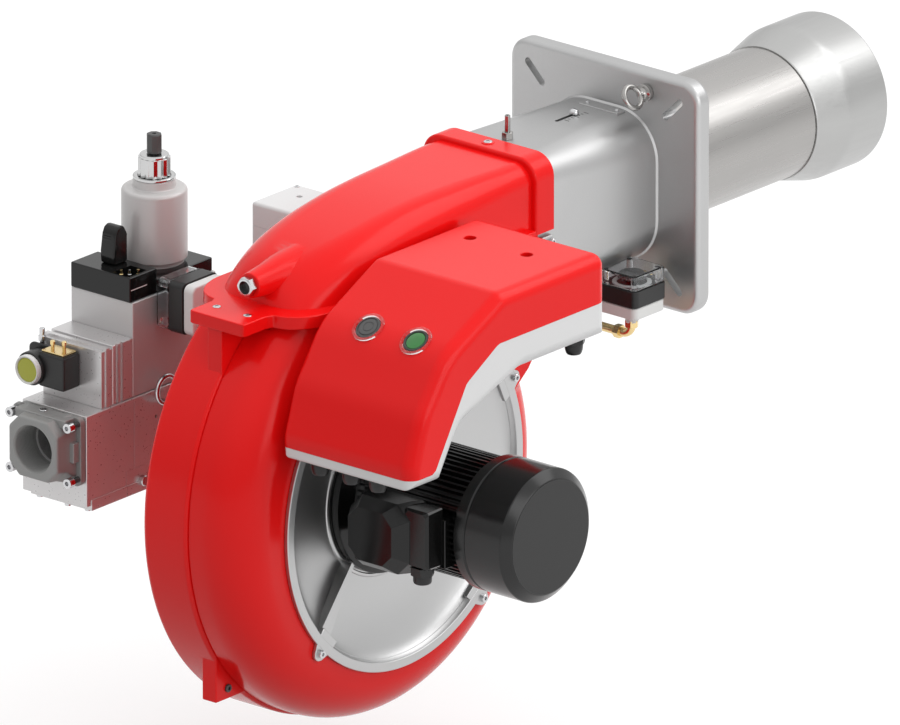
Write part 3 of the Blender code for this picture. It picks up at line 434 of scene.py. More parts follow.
RED = finish_of("gloss_red_paint", (0.80, 0.006, 0.006), 0.0, 0.20, 0.03, 300, tint=0.015, shine=0.2)
RED_MATT = finish_of("satin_red_cover", (0.80, 0.006, 0.006), 0.0, 0.24, 0.03, 900, tint=0.015, shine=0.2)
CAST = finish_of("cast_aluminium", (0.50, 0.50, 0.50), 1.0, 0.40, 0.07, 900, 0.026)
DISH = finish_of("satin_cast_plate", (0.50, 0.50, 0.50), 1.0, 0.36, 0.06, 1200, 0.016, tint=0.03)
TUBE = finish_of("drawn_steel_tube", (0.40, 0.39, 0.38), 1.0, 0.30, 0.05, 260, 0.010,
                 (1, 0.04, 1), tint=0.05)
FLARE = finish_of("rolled_steel_flare", (0.46, 0.46, 0.455), 1.0, 0.34, 0.05, 260, 0.006,
                  (1, 0.05, 1), tint=0.03)
MILLED = finish_of("milled_aluminium", (0.66, 0.65, 0.65), 0.62, 0.30, 0.03, 300, tint=0.02)
SATIN = finish_of("satin_anodised", (0.56, 0.55, 0.55), 0.45, 0.42, 0.04, 600, 0.004, tint=0.02)
DARK_CHROME = finish_of("dark_chrome", (0.36, 0.35, 0.34), 1.0, 0.16, 0.03, 300, tint=0.02)
SAND_CAST = finish_of("sand_cast_inlet", (0.30, 0.30, 0.295), 0.35, 0.55, 0.06, 900, 0.05,
                      tint=0.05, spots=0.15)
STEEL = finish_of("bright_steel", (0.55, 0.55, 0.55), 1.0, 0.20, 0.05, 500, 0.003, tint=0.03)
SCREW = finish_of("zinc_plated_screw", (0.60, 0.60, 0.61), 1.0, 0.20, 0.05, 700, 0.002, tint=0.03)
CHROME = finish_of("chrome_cap", (0.58, 0.58, 0.58), 1.0, 0.14, 0.02, 300, tint=0.01)
DARK_STEEL = finish_of("blackened_steel", (0.085, 0.085, 0.085), 0.6, 0.42, 0.06, 900, 0.01, tint=0.06)
GALVANISED = finish_of("galvanised_sheet", (0.50, 0.51, 0.52), 1.0, 0.38, 0.10, 90, 0.01,
                       tint=0.12, patch=45.0)
BRASS = finish_of("brass", (0.78, 0.60, 0.30), 1.0, 0.22, 0.05, 600, 0.003)
BLACK = finish_of("gloss_black_paint", (0.006, 0.006, 0.006), 0.0, 0.16, 0.04, 700,
                  tint=0.1, shine=0.35)
COWL = finish_of("black_motor_cowl", (0.010, 0.010, 0.010), 0.0, 0.20, 0.03, 1500, tint=0.06, shine=0.4)
END_PLATE = finish_of("dark_end_plate", (0.034, 0.034, 0.034), 0.0, 0.45, 0.04, 1500, 0.004, shine=0.3)
BLACK_PLASTIC = finish_of("black_moulding", (0.014, 0.014, 0.014), 0.0, 0.36, 0.05, 1600, 0.008,
    tint=0.1, shine=0.4)
GREY_PLASTIC = finish_of("light_grey_moulding", (0.70, 0.70, 0.70), 0.0, 0.42, 0.04, 1600,
    0.004, tint=0.015)
DIAL_PLASTIC = finish_of("dark_grey_dial", (0.075, 0.075, 0.075), 0.0, 0.38, 0.05, 1200,
    0.006, tint=0.05)
WHITE_PLASTIC = finish_of("white_moulding", (0.74, 0.74, 0.73), 0.0, 0.36, 0.05, 1600,
    0.004, tint=0.02)
COIL_SHELL = finish_of("satin_coil_shell", (0.56, 0.545, 0.54), 0.15, 0.36, 0.04, 1200,
                       0.004, tint=0.02)
CERAMIC = finish_of("glazed_ceramic", (0.80, 0.79, 0.76), 0.0, 0.25, 0.05, 400, 0.004,
                    coat=0.3, tint=0.03)
GREEN = finish_of("green_lens", (0.02, 0.20, 0.03), 0.0, 0.18, 0.04, 300, 0.0, coat=0.3,
                  tint=0.35, patch=60.0)
YELLOW = finish_of("yellow_green_disc", (0.42, 0.43, 0.05), 0.0, 0.42, 0.05, 500, 0.006, tint=0.06)
CLEAR = clear_of("clear_cover", (0.93, 0.95, 0.96, 1))
RIM_CLEAR = clear_of("clear_rim", (0.96, 0.93, 0.93, 1), 0.06)
DARK_RING = finish_of("dark_ring", (0.03, 0.035, 0.03), 0.0, 0.3, 0.04, 600, tint=0.1)
PIPE_PAINT = finish_of("zinc_painted_pipe", (0.42, 0.43, 0.44), 0.7, 0.42, 0.06, 500, 0.02, tint=0.06)
HEAT_STEEL = finish_of("heat_tinted_steel", (0.42, 0.40, 0.38), 1.0, 0.36, 0.08, 500, 0.008,
                       tint=0.18, patch=30.0)


# ---------------------------------------------------------------- head, flange and blast tube


def head_section(back):
    return rounded(84.0 - 1.5 * back, HEAD_H, 58.0 - 28.0 * back)


def make_head():
    plate = prism("head", rounded(148, 148, 27, 14), -25, 0, "Y")
    soften(plate, 7, 6)
    ways = [i / 12 for i in range(13)]
    body = loft("neck", [(-23, head_section(0))] + [(-25 + (HEAD_BACK + 25) * w, head_section(w)) for w in ways], "Y")
    rings = [(-22, inset(head_section(0), -2.4))]
    for _, s in quarter(8):
        rings.append((-24.6 - 3 * s, inset(head_section(0), -2.4 * (1 - s) + 0.3 * (s == 1))))
    fillet = loft("fillet", rings, "Y")
    lugs = [soften(box("lug", (side * 76, side * 90), (-246, -226), (-14, 2)), 1.5, 3) for side in (1, -1)]
    crest = soften(box("crest", (-20, 40), (-48, -32), (90, HEAD_H + 1.3)), 0.6, 3)
    fuse(plate, body, fillet, crest, *lugs)
    mouth = circle(0, 0, 76, 52, math.pi / 104)
    rings = [(HEAD_BACK - 5, inset(head_section(1), 6)), (-150, inset(head_section(0.5), 6))]
    rings += [(-70, inset(head_section(0.2), 8)), (-30, mouth), (5, mouth)]
    cutters = [loft("bore", rings, "Y")]
    for sx in (-1, 1):
        for sz in (-1, 1):
            slot = prism("slot", rounded(20, 4.8, 4.75, 10), -40, 10, "Y")
            slot.data.transform(Matrix.Rotation(math.radians(-45 * sx * sz), 4, "Y"))
            cutters.append(move(slot, sx * 108, 0, sz * 110))
    cutters.append(cylinder("gas_hole", *RISER, 27.5, -120, -70))
    cutters.append(prism("index_slot", rounded(2.6, 19, 2.5, 8, 0, -96), 80, 110, "Z"))
    cut(plate, *cutters)
    dress(plate, CAST, "head_casting", 34)
    for i, y in enumerate((-104, -98, -92, -86, -80, -74, -68)):
        dress(box("graduation_%d" % i, (5, 9 if i % 3 else 12), (y - 0.35, y + 0.35), (HEAD_H - 0.2, HEAD_H + 0.25)),
              DARK_STEEL, angle=20, slot="cast_aluminium")
    for i, x in enumerate((-12, 34)):
        dress(turned("crest_stud_%d" % i, "Z", x, -41, [(0, 96), (2.4, 96), (2.4, 97.6), (1.6, 98.2), (1.6, 99.2),
            (0, 99.2)], 24), SCREW)
    dress(turned("tube_skin", *BLAST, [(80, FIT), (92, FIT), (92, 4.4), (91.4, 5), (83.6, 5), (83, 5.6), (83, 275.6),
        (82.6, 276.4), (82.2, 277), (80, 277)], 160), TUBE, "blast_tube")
    end = 396.0
    flare = turned("flare_skin", *BLAST, [(76.7, 255), (79.7, 255), (79.7, 277.3), (84.3, 277.3), (84.8, 278.4),
        (85.2, 280), (94.5, 316), (95.8, 321), (96.8, 325), (97.4, 330), (97.5, 336), (97.5, end - 2.4),
        (97.2, end - 1.2), (96.5, end - 0.3), (95.6, end), (94.6, end), (93.8, end - 0.5), (93.5, end - 1.5),
        (93.5, 328), (92, 324), (76.7, 285)], 160)
    dress(flare, FLARE, "flare_sleeve", 28)


# ---------------------------------------------------------------- scroll and duct cover


def volute(angle):
    return 272.5 + 15.0 * angle / 90.0


def on_volute(angle, radius):
    turn = math.radians(angle)
    return (AXIS_Y + radius * math.cos(turn), AXIS_Z - radius * math.sin(turn))


def ledge_outline():
    """Plan of the rim between scroll and duct cover: long sides, round rear shoulders and the square rear tab."""
    wide, back = 94.0, -704.0
    points = [(wide, HEAD_BACK - 12), (wide, back + 76)]
    points += [(wide - 47 + 47 * c, back + 76 - 64 * s ** 1.1) for c, s in quarter(14)[1:]]
    points += [(44, back + 5), (43, back + 2), (43, back - 33), (41.5, back - 37), (38, back - 38.4)]
    return points + [(-x, y) for x, y in reversed(points)]


def make_scroll():
    points, weights = [], []
    first, last, count = -24, 235, 150
    for i in range(count + 1):
        angle = first + (last - first) * i / count
        points.append(on_volute(angle, volute(angle)))
        ease = min(1.0, max(0.0, (angle - first) / 5.0))
        weights.append(ease * ease * (3 - 2 * ease))
    end = points[-1]
    points += [(end[0] + 12, 60.0), (HEAD_BACK - FIT, 60.0), (HEAD_BACK - FIT, -60.0)]
    weights += [1.0, 0.0, 0.0]
    left, right, over, step_x = -65.0, 86.0, 60.0, 5.0
    layers = [(left + 9 * (1 - c), 9.0 * (1 - s)) for c, s in quarter(6)]
    layers += [(-30, 0.0), (step_x - 4.6, 0.0), (step_x - 3.0, 0.35), (step_x - 1.6, 1.2), (step_x - 0.7, 2.3),
               (step_x - 0.2, 3.6), (step_x, 5.2), (step_x + 0.7, 5.3), (step_x + 1.4, 4.1), (step_x + 3.2, 3.9)]
    layers += [(right - over + over * s, 3.9 + (over - 3.9) * (1 - c)) for c, s in quarter(17)]
    body = loft("scroll", [(x, inset(points, [d * w for w in weights])) for x, d in layers], "X")
    common(body, box("keep", (-300, 300), (-1000, 0), (-900, SPLIT)))
    corner = on_volute(139, volute(139))
    foot = soften(box("foot", (step_x - 22, step_x), (corner[0] - 25, corner[0] + 40),
                      (corner[1] - 22, corner[1] + 45)), 1.6, 3)
    bracket = soften(box("bracket", (step_x - 22, step_x), (-738, -655), (-62, 2)), 1.2, 3)
    front = HEAD_BACK - FIT
    side = [(-640, SPLIT), (-640, -20), (-606, -60), (-362, -60), (-334, -112), (front, -112), (front, SPLIT)]
    shoulder = prism("shoulder", side, -84, left + 1, "X")
    fuse(body, foot, bracket, shoulder)
    inside = []
    low, high = -46, 233
    for i in range(101):
        angle = low + (high - low) * i / 100
        ease = min(1.0, (angle - low) / 40.0)
        inside.append(on_volute(angle, 202 + (volute(angle) - 6 - 202) * ease * ease * (3 - 2 * ease)))
    inside += [(inside[-1][0] + 14, 30.0), (HEAD_BACK + 10, 30.0), (HEAD_BACK + 10, -86.0), (HEAD_BACK - 20, -86.0),
               (-330.0, -98.0)]
    air = prism("air", inside, left + 6, 34.0, "X")
    room = [(y, z if z < SPLIT else 48.0) for y, z in side]
    fuse(air, box("neck", (30, 80), (-628, HEAD_BACK - 14), (-84, 30)),
         box("throat", (30, 76), (-300, HEAD_BACK + 10), (-84, 30)), prism("room", inset(room, 6), -78, left + 7, "X"))
    door = turned("door", *FAN, [(0, 30), (252.5, 30), (243.5, 44), (224.5, 62), (204, 70), (204, 100), (0, 100)], 160)
    cut(body, air, door, cylinder("eye", *FAN, 96, left - 16, left + 16, 96))
    dress(body, RED, "scroll_housing", 38)
    dress_row("rim_screw", pan_screw, [(x, -713, SPLIT + 8.3) for x in (24, -24)], (0, 0, 1), 5.2, 1.6)
    foot_bolt = socket_screw("foot_screw", (step_x, corner[0] - 4, corner[1] - 8), (1, 0, 0), 5.0, 3)
    dress(foot_bolt, DARK_STEEL)


def duct_sections():
    """The duct cover's hood from the back to the collar: y, height, half width and edge radius of each section."""
    anchors = [(-672, SPLIT, 58, 48), (-668, 26, 65, 58), (-655, 44, 72, 63), (-630, 60, 77.5, 60),
               (-590, 73, 81.5, 52), (-540, 83, 82.5, 45), (-480, 91, 82.5, 41), (-420, 95, 82.5, 38),
               (-350, 96, 82.5, 33), (-290, 96, 82.5, 27), (-238, 96, 82.5, 26)]
    sections = []
    for i in range(len(anchors) - 1):
        before, start = Vector(anchors[max(i - 1, 0)]), Vector(anchors[i])
        stop, after = Vector(anchors[i + 1]), Vector(anchors[min(i + 2, len(anchors) - 1)])
        bend = 2 * before - 5 * start + 4 * stop - after
        twist = 3 * start - before - 3 * stop + after
        for t in (step / 6 for step in range(6)):
            sections.append(tuple(0.5 * (2 * start + (stop - before) * t + bend * t * t + twist * t ** 3)))
    return sections + [(-238.0, 96.0, 82.5, 26.0)]


def make_duct():
    low = SPLIT + FIT
    sections = duct_sections()
    body = loft("duct", [(y, rounded(w, (z + 100) / 2, r, 14, 0, (z - 100) / 2)) for y, z, w, r in sections], "Y")
    collar = soften(prism("collar", rounded(89.5, 102, 28, 14), -258, -222, "Y"), 3.5, 4, 50)
    ledge = soften(prism("ledge", ledge_outline(), SPLIT - LEDGE_T, low + LEDGE_T, "Z"), 1.6, 4, 50)
    boss = turned("boss", *SIGHT, [(0, -690), (14.4, -690), (15.2, -689.4), (15.6, -688), (19.5, -660), (24, -640),
        (28, -600), (0, -600)], 64)
    pad = turned("pad", "Z", 0, -241, [(0, 95), (8, 95), (8, 102.4), (7.4, 103), (0, 103)], 40)
    fuse(body, collar, boss, pad)
    common(body, box("keep", (-300, 300), (-1000, 0), (low, 200)))
    fuse(body, ledge)
    hollow = loft("hollow", [(y, rounded(w - 6, (z + 94) / 2, max(6, r - 6), 14, 0,
        (z - 106) / 2)) for y, z, w, r in sections if y > -660], "Y")
    throat = prism("throat", inset(head_section(1), -FIT), HEAD_BACK - FIT, HEAD_BACK + 40, "Y")
    link = prism("link", inset(head_section(1), 6), HEAD_BACK - 30, HEAD_BACK + 10, "Y")
    cut(body, hollow, throat, link, cylinder("sight", *SIGHT, 6.5, -700, -590, 40))
    dress(body, RED, "duct_cover", 38)
    nut = hex_nut("sight_nut", (SIGHT_X, -690.3, 44), (0, -1, 0), 21.5, 9.6, 8.2)
    dress(nut, SCREW, "sight_glass")
    dress(turned("sight_pane", *SIGHT, [(0, -694.2), (8, -694.2), (8, -692.6), (0, -692.6)], 48), BLACK)
    dress(turned("sight_stem", *SIGHT, [(5.2, -690), (6.2, -690), (6.2, -672), (5.2, -672)], 40), SCREW)
    dress(pan_screw("collar_screw", (0, -241, 103), (0, 0, 1), 5.4, 1.6), SCREW)
    for i, (side, y) in enumerate(((1, -258), (1, -230), (-1, -258), (-1, -230))):
        dress(socket_screw("hinge_screw_%d" % i, (side * 90.4, y, -6), (side, 0, 0), 4.2, 4), SCREW)


# ---------------------------------------------------------------- motor plate, fan and motor


def lug_plate(name, angle, x0):
    """Ear on the rim of the motor plate, drawn at angle 0 and turned about the fan axis."""
    ear = prism(name, [(196, -17), (214, -15), (228, -8), (231.5, -4), (232.5, 0), (231.5, 4), (228, 8), (214, 15),
                       (196, 17)], x0 - 0.2, x0 + 5.6, "X")
    soften(ear, 1.2, 3)
    spin = Matrix.Rotation(-math.radians(angle), 4, "X")
    ear.data.transform(Matrix.Translation(Vector((0, AXIS_Y, AXIS_Z)) * MM) @ spin)
    return ear


def make_motor_plate():
    x0, hub = 86.3, 58.0
    profile = [(32, hub - 8), (105, hub - 8), (196, x0 - 12), (202, x0 - 12), (202, x0), (217, x0), (217.6, x0 + 0.6),
               (217.6, x0 + 5), (217, x0 + 5.8), (216, x0 + 6), (206.5, x0 + 6), (205.8, x0 + 5.4), (204.5, x0 + 2.5),
               (199, x0 - 4)]
    for step in range(1, 12):
        t = step / 12
        radius = 199 - (199 - 108) * t
        profile.append((radius, x0 - 4 - (x0 - 4 - hub) * (t ** 0.8) - 2.2 * math.sin(math.pi * t)))
    profile += [(108, hub), (107, hub + 1.2), (105.4, hub + 1.8), (103.8, hub + 1.8), (103, hub + 1),
                (102.6, hub - 0.4), (32, hub - 0.4)]
    dress(turned("dish", *FAN, profile, 200), DISH, "motor_plate", 24)
    for i, angle in enumerate((136, 256, 16)):
        rib = prism("plate_rib_%d" % i, [(103, hub - 3), (201, x0 - 8), (201, x0 + 1), (103, hub + 14)], -3, 3, "X")
        turn = math.radians(angle)
        for vertex in rib.data.vertices:
            across, radius, x = vertex.co.x, vertex.co.y, vertex.co.z
            wide = 1.0 + 2.6 * max(0.0, (radius / MM - 103) / 98)
            vertex.co = (x, AXIS_Y * MM + radius * math.cos(turn) + across * wide * math.sin(turn),
                AXIS_Z * MM - radius * math.sin(turn) + across * wide * math.cos(turn))
        with editing(rib) as work:
            bmesh.ops.recalc_face_normals(work, faces=work.faces)
        dress(rib, DISH)
    ears = (135, 50, 335, 225)
    for i, angle in enumerate(ears):
        dress(lug_plate("plate_ear_%d" % i, angle, x0), DISH)
    places = [(x0 + 5.6, *on_volute(angle, 223)) for angle in ears]
    dress_row("plate_screw", socket_screw, places, (1, 0, 0), 5.0, 4.2)


def make_motor():
    x0, cowl_start, end = 58.3, 236.0, 318.0
    fins = fluted(AXIS_Y, AXIS_Z, 60, [(-0.34, 70.0), (-0.16, 77.0), (0.16, 77.0), (0.34, 70.0)])
    body = prism("motor", fins, x0 + 22, cowl_start + 1, "X")
    flange = turned("flange", *FAN, [(0, x0), (99, x0), (100.4, x0 + 0.6), (101, x0 + 2), (101, x0 + 11),
        (100.4, x0 + 12.2), (99, x0 + 13), (84, x0 + 16), (78, x0 + 19), (76, x0 + 26), (72, x0 + 30),
        (0, x0 + 30)], 128)
    shield = turned("shield", *FAN, [(0, cowl_start - 20), (79, cowl_start - 20 + 17), (80.6, cowl_start - 2),
        (80.6, cowl_start + 3), (0, cowl_start + 3)], 96)
    pad = soften(box("pad", (104, 224), (AXIS_Y - 84, AXIS_Y - 58), (AXIS_Z - 40, AXIS_Z + 22)), 1.5, 3)
    fuse(body, flange, shield, pad)
    cut(body, cylinder("bore", *FAN, 13, 0, 400, 48))
    dress(body, BLACK, "motor_frame", 30, slot="black_paint")
    for i in range(4):
        turn = math.radians(45 + 90 * i)
        y, z = AXIS_Y + 91 * math.cos(turn), AXIS_Z + 91 * math.sin(turn)
        dress(socket_screw("motor_screw_%d" % i, (x0 + 12.4, y, z), (1, 0, 0), 4.5, 5), DARK_STEEL)
    cowl = turned("cowl", *FAN, [(81, cowl_start), (82.6, cowl_start), (83, cowl_start + 0.4), (83, cowl_start + 13.4),
        (82.3, cowl_start + 14.2), (81.6, cowl_start + 15.6), (82.3, cowl_start + 17), (83, cowl_start + 17.8),
        (83, end - 11.4), (82.6, end - 10.2), (81.8, end - 9.2), (72.4, end - 1.2), (71.2, end - 0.4), (69.6, end),
        (20, end), (20, end - 2), (69, end - 2), (79, end - 11), (81, end - 16)], 160)
    centre = cylinder("centre", *FAN, 24, end - 2, end, 64)
    fuse(cowl, centre)
    disc = turned("cowl_face", *FAN, [(0, end), (70.6, end), (70.6, end + 0.05), (0, end + 0.05)], 128)
    disc.data.transform(Matrix.Translation((-0.06 * MM, 0, 0)))
    dress(disc, END_PLATE)
    dress(cowl, COWL, "fan_cowl", 24)
    front = AXIS_Y - 84 - FIT

    def eight(x_low, x_high, z_low, z_high, c):
        return [(x_low + c, z_low), (x_high - c, z_low), (x_high, z_low + c), (x_high, z_high - c),
                (x_high - c, z_high), (x_low + c, z_high), (x_low, z_high - c), (x_low, z_low + c)]

    low, high = AXIS_Z - 50, AXIS_Z + 41
    terminal = loft("motor_terminals", [(front, eight(102, 196, low, high, 6)),
        (front - 16, eight(102, 196, low, high, 14)), (front - 30, eight(103, 194, low + 1, high - 1, 18)),
        (front - 44, eight(110, 178, low + 12, high - 12, 15))], "Y")
    block = loft("block", [(front, eight(184, 221, low + 14, high - 3, 2)),
        (front - 26, eight(184, 221, low + 14, high - 3, 3)), (front - 29,
            eight(187, 218, low + 17, high - 6, 4))], "Y")
    fuse(terminal, block)
    soften(terminal, 1.4, 3, 20)
    dress(terminal, BLACK, "terminal_box", 24)
    seam = turned("gland_body", "Z", 202, front - 15, [(0, AXIS_Z - 47), (11, AXIS_Z - 47), (11.4, AXIS_Z - 48.4),
        (11.4, AXIS_Z - 55), (10.6, AXIS_Z - 57), (9, AXIS_Z - 58), (0, AXIS_Z - 58)], 48)
    nut = move(hex_nut("gland_hex", (0, 0, 0), (0, 0, -1), 26, 11), 202, front - 15, AXIS_Z - 36.3)
    fuse(nut, seam)
    dress(nut, BLACK_PLASTIC, "motor_gland")


# ---------------------------------------------------------------- control box and buttons


def round_corners(corners, radii, steps=10):
    """Closed polygon with an arc of its own radius at each corner."""
    points = []
    count = len(corners)
    for i, corner in enumerate(corners):
        here, before, after = Vector(corner), Vector(corners[i - 1]), Vector(corners[(i + 1) % count])
        into, out = (here - before).normalized(), (after - here).normalized()
        turn = into.angle_signed(out)
        if abs(turn) < 0.01 or radii[i] == 0:
            points.append(tuple(here))
            continue
        reach = radii[i] * math.tan(abs(turn) / 2)
        start = here - into * reach
        side = Vector((-into.y, into.x)) * (-1 if turn > 0 else 1)
        centre = start + side * radii[i]
        spoke = start - centre
        for step in range(steps + 1):
            spin = Matrix.Rotation(-turn * step / steps, 2)
            points.append(tuple(centre + spin @ spoke))
    return points


BOX_CORNERS = [(-372, 66), (-566, 66), (-668, 16), (-715, -50), (-736, -113), (-733, -140), (-676, -140), (-640, -80),
               (-530, -39), (-372, -39)]
BOX_RADII = [16, 24, 90, 90, 40, 4, 5, 30, 30, 5]
EDGE = 18.0
SLOPE_RUN, SLOPE_DROP = 102, 50
BUTTONS_X = (166.0, 240.0)
BUTTONS_AT, BUTTONS_SINK, BUTTONS_TILT = 0.912, 0.92, 8.2
COVER_SCREWS = ((228, -440), (138, -438))
GLANDS = ((130, -704, -140), (178, -704, -140), (220, -704, -140), (268, -400, -39))


def aim(obj):
    """Stands a piece drawn round the Z axis on the sloping face of the box, at the buttons' height."""
    slope = math.atan2(SLOPE_DROP, SLOPE_RUN)
    middle = Vector((0, -566 - SLOPE_RUN * BUTTONS_AT, 66 - SLOPE_DROP * BUTTONS_AT))
    middle = (middle - Vector((0, -math.sin(slope), math.cos(slope))) * BUTTONS_SINK) * MM
    spin = Matrix.Rotation(slope + math.radians(BUTTONS_TILT), 4, "X")
    obj.data.transform(Matrix.Translation(middle) @ spin)
    return obj


def round_block(name, x0, x1, near, far, wall=0.0):
    """The control box's side outline drawn along X, less a wall, with its two end edges rounded by near and far."""
    area = sum(a[0] * b[1] - b[0] * a[1] for a, b in zip(BOX_CORNERS, BOX_CORNERS[1:] + BOX_CORNERS[:1]))

    def outline(depth):
        radii = []
        for i, corner in enumerate(BOX_CORNERS):
            into = Vector(corner) - Vector(BOX_CORNERS[i - 1])
            out = Vector(BOX_CORNERS[(i + 1) % len(BOX_CORNERS)]) - Vector(corner)
            bulges = (into.x * out.y - into.y * out.x) * area > 0
            radii.append(max(0.6, BOX_RADII[i] - depth) if bulges else BOX_RADII[i] + depth)
        return round_corners(inset(BOX_CORNERS, depth), radii, 12)

    layers = []
    for start, side, edge in ((x0, 1, near), (x1, -1, far)):
        for c, s in quarter(8)[::side]:
            layers.append((start + side * edge * (1 - c), outline(wall + edge * (1 - s))))
    return loft(name, layers, "X")


def make_control_box():
    line = [(-800, -126), (-696, -126), (-690, -122), (-634, -29), (-630, -26), (-578, 4), (-572, 6), (-300, 6)]
    above = line + [(-300, 200), (-800, 200)]
    below = [(y, z - FIT) for y, z in line] + [(-300, -300), (-800, -300)]
    for name, region, material in (("cover", above, RED_MATT), ("base", below, GREY_PLASTIC)):
        body = round_block("box_" + name, 98, 298, 6, EDGE)
        common(body, prism("region", region, 0, 400, "X"))
        hollow = round_block("hollow", 101.5, 294.5, 3, EDGE - 3.5, 3.5)
        if name == "base":
            stands = [box("stand", (86.3, 110), (y - 9, y + 9), (-21, -6)) for y in (-420, -560)]
            cut(body, hollow)
            fuse(body, *stands)
            cut(body, *[cylinder("hole", "Z", x, y, 5.8, z - 20, z + 30, 32) for x, y, z in GLANDS])
            nub = turned("nub", "Z", 268, -430, [(0, -37), (6, -37), (6, -43), (5, -44), (0, -44)], 32)
            fuse(body, nub)
        else:
            hole = [(0, 46), (7.6, 46), (7.6, 65.4), (8.4, 66.2), (8.4, 71), (0, 71)]
            well = [(7.65, 50), (9.2, 50), (9.2, 62.4), (7.65, 62.4)]
            cutters = [aim(cylinder("well", "Z", x, 0, 16.3, -20, 20, 96)) for x in BUTTONS_X]
            cutters += [turned("screw_hole", "Z", x, y, hole, 40) for x, y in COVER_SCREWS]
            cut(body, hollow, *cutters)
            wells = join("screw_wells", [turned("screw_well", "Z", x, y, well, 40) for x, y in COVER_SCREWS])
            places = [(x, y, 51.5) for x, y in COVER_SCREWS]
            dress_row("cover_screw", pan_screw, places, (0, 0, 1), 4.6, 2.0, DARK_STEEL)
            dress(wells, RED_MATT)
        dress(body, material, "control_" + name, 30)
    for number, (x, y, z) in enumerate(GLANDS):
        nut = move(hex_nut("gland_nut_%d" % number, (0, 0, 0), (0, 0, -1), 25, 8), x, y, z - FIT)
        dome = turned("dome", "Z", x, y, [(0, z - 7), (11, z - 7), (11.2, z - 11), (10.8, z - 16), (9.6, z - 20),
            (8.6, z - 21.6), (7, z - 22), (0, z - 22)], 48)
        stem = turned("stem", "Z", x, y, [(0, z - 2), (5.5, z - 2), (5.5, z + 9), (0, z + 9)], 32)
        fuse(nut, dome, stem)
        dress(nut, BLACK_PLASTIC, "gland_%d" % (number + 1))


def make_buttons():
    for name, x, material in (("reset", BUTTONS_X[0], DIAL_PLASTIC), ("flame", BUTTONS_X[1], GREEN)):
        rim = turned(name + "_rim", "Z", x, 0, [(16.4, -0.5), (20.8, -0.5), (20.8, 0.7), (20.3, 1.3), (19.4, 1.6),
            (18.2, 1.7), (17.2, 1.5), (16.6, 1.0), (16.4, 0.4)], 96)
        dress(aim(rim), RIM_CLEAR)
        if name == "reset":
            profile = [(0, 0.9), (5.6, 0.9), (6.2, 0.2), (7.2, 0.2), (7.8, 0.9), (10.4, 1.1), (11.6, 0.7),
                       (12.2, -0.4), (13.4, -0.4), (13.8, 0.8), (15.0, 0.8), (15.8, 0.2), (15.8, -8), (6, -8),
                       (6, -24), (0, -24)]
        else:
            profile = [(0, 1.7), (5, 1.6), (9, 1.2), (12.0, 0.4), (12.6, -0.6), (13.4, -0.6), (13.8, 0.8), (15.0, 0.8),
                       (15.8, 0.2), (15.8, -8), (6, -8), (6, -24), (0, -24)]
        dress(aim(turned(name + "_key_skin", "Z", x, 0, profile, 96)), material, name + "_button", 40,
              body=name + "_key")
        if name == "flame":
            dress(aim(turned("flame_collar", "Z", x, 0, [(12.7, -0.5), (15.84, -0.5), (15.84, 0.6), (15.2, 1.2),
                (13.6, 1.2), (12.9, 0.6)], 96)), DARK_RING, body="flame_key")


# ---------------------------------------------------------------- pressure switches


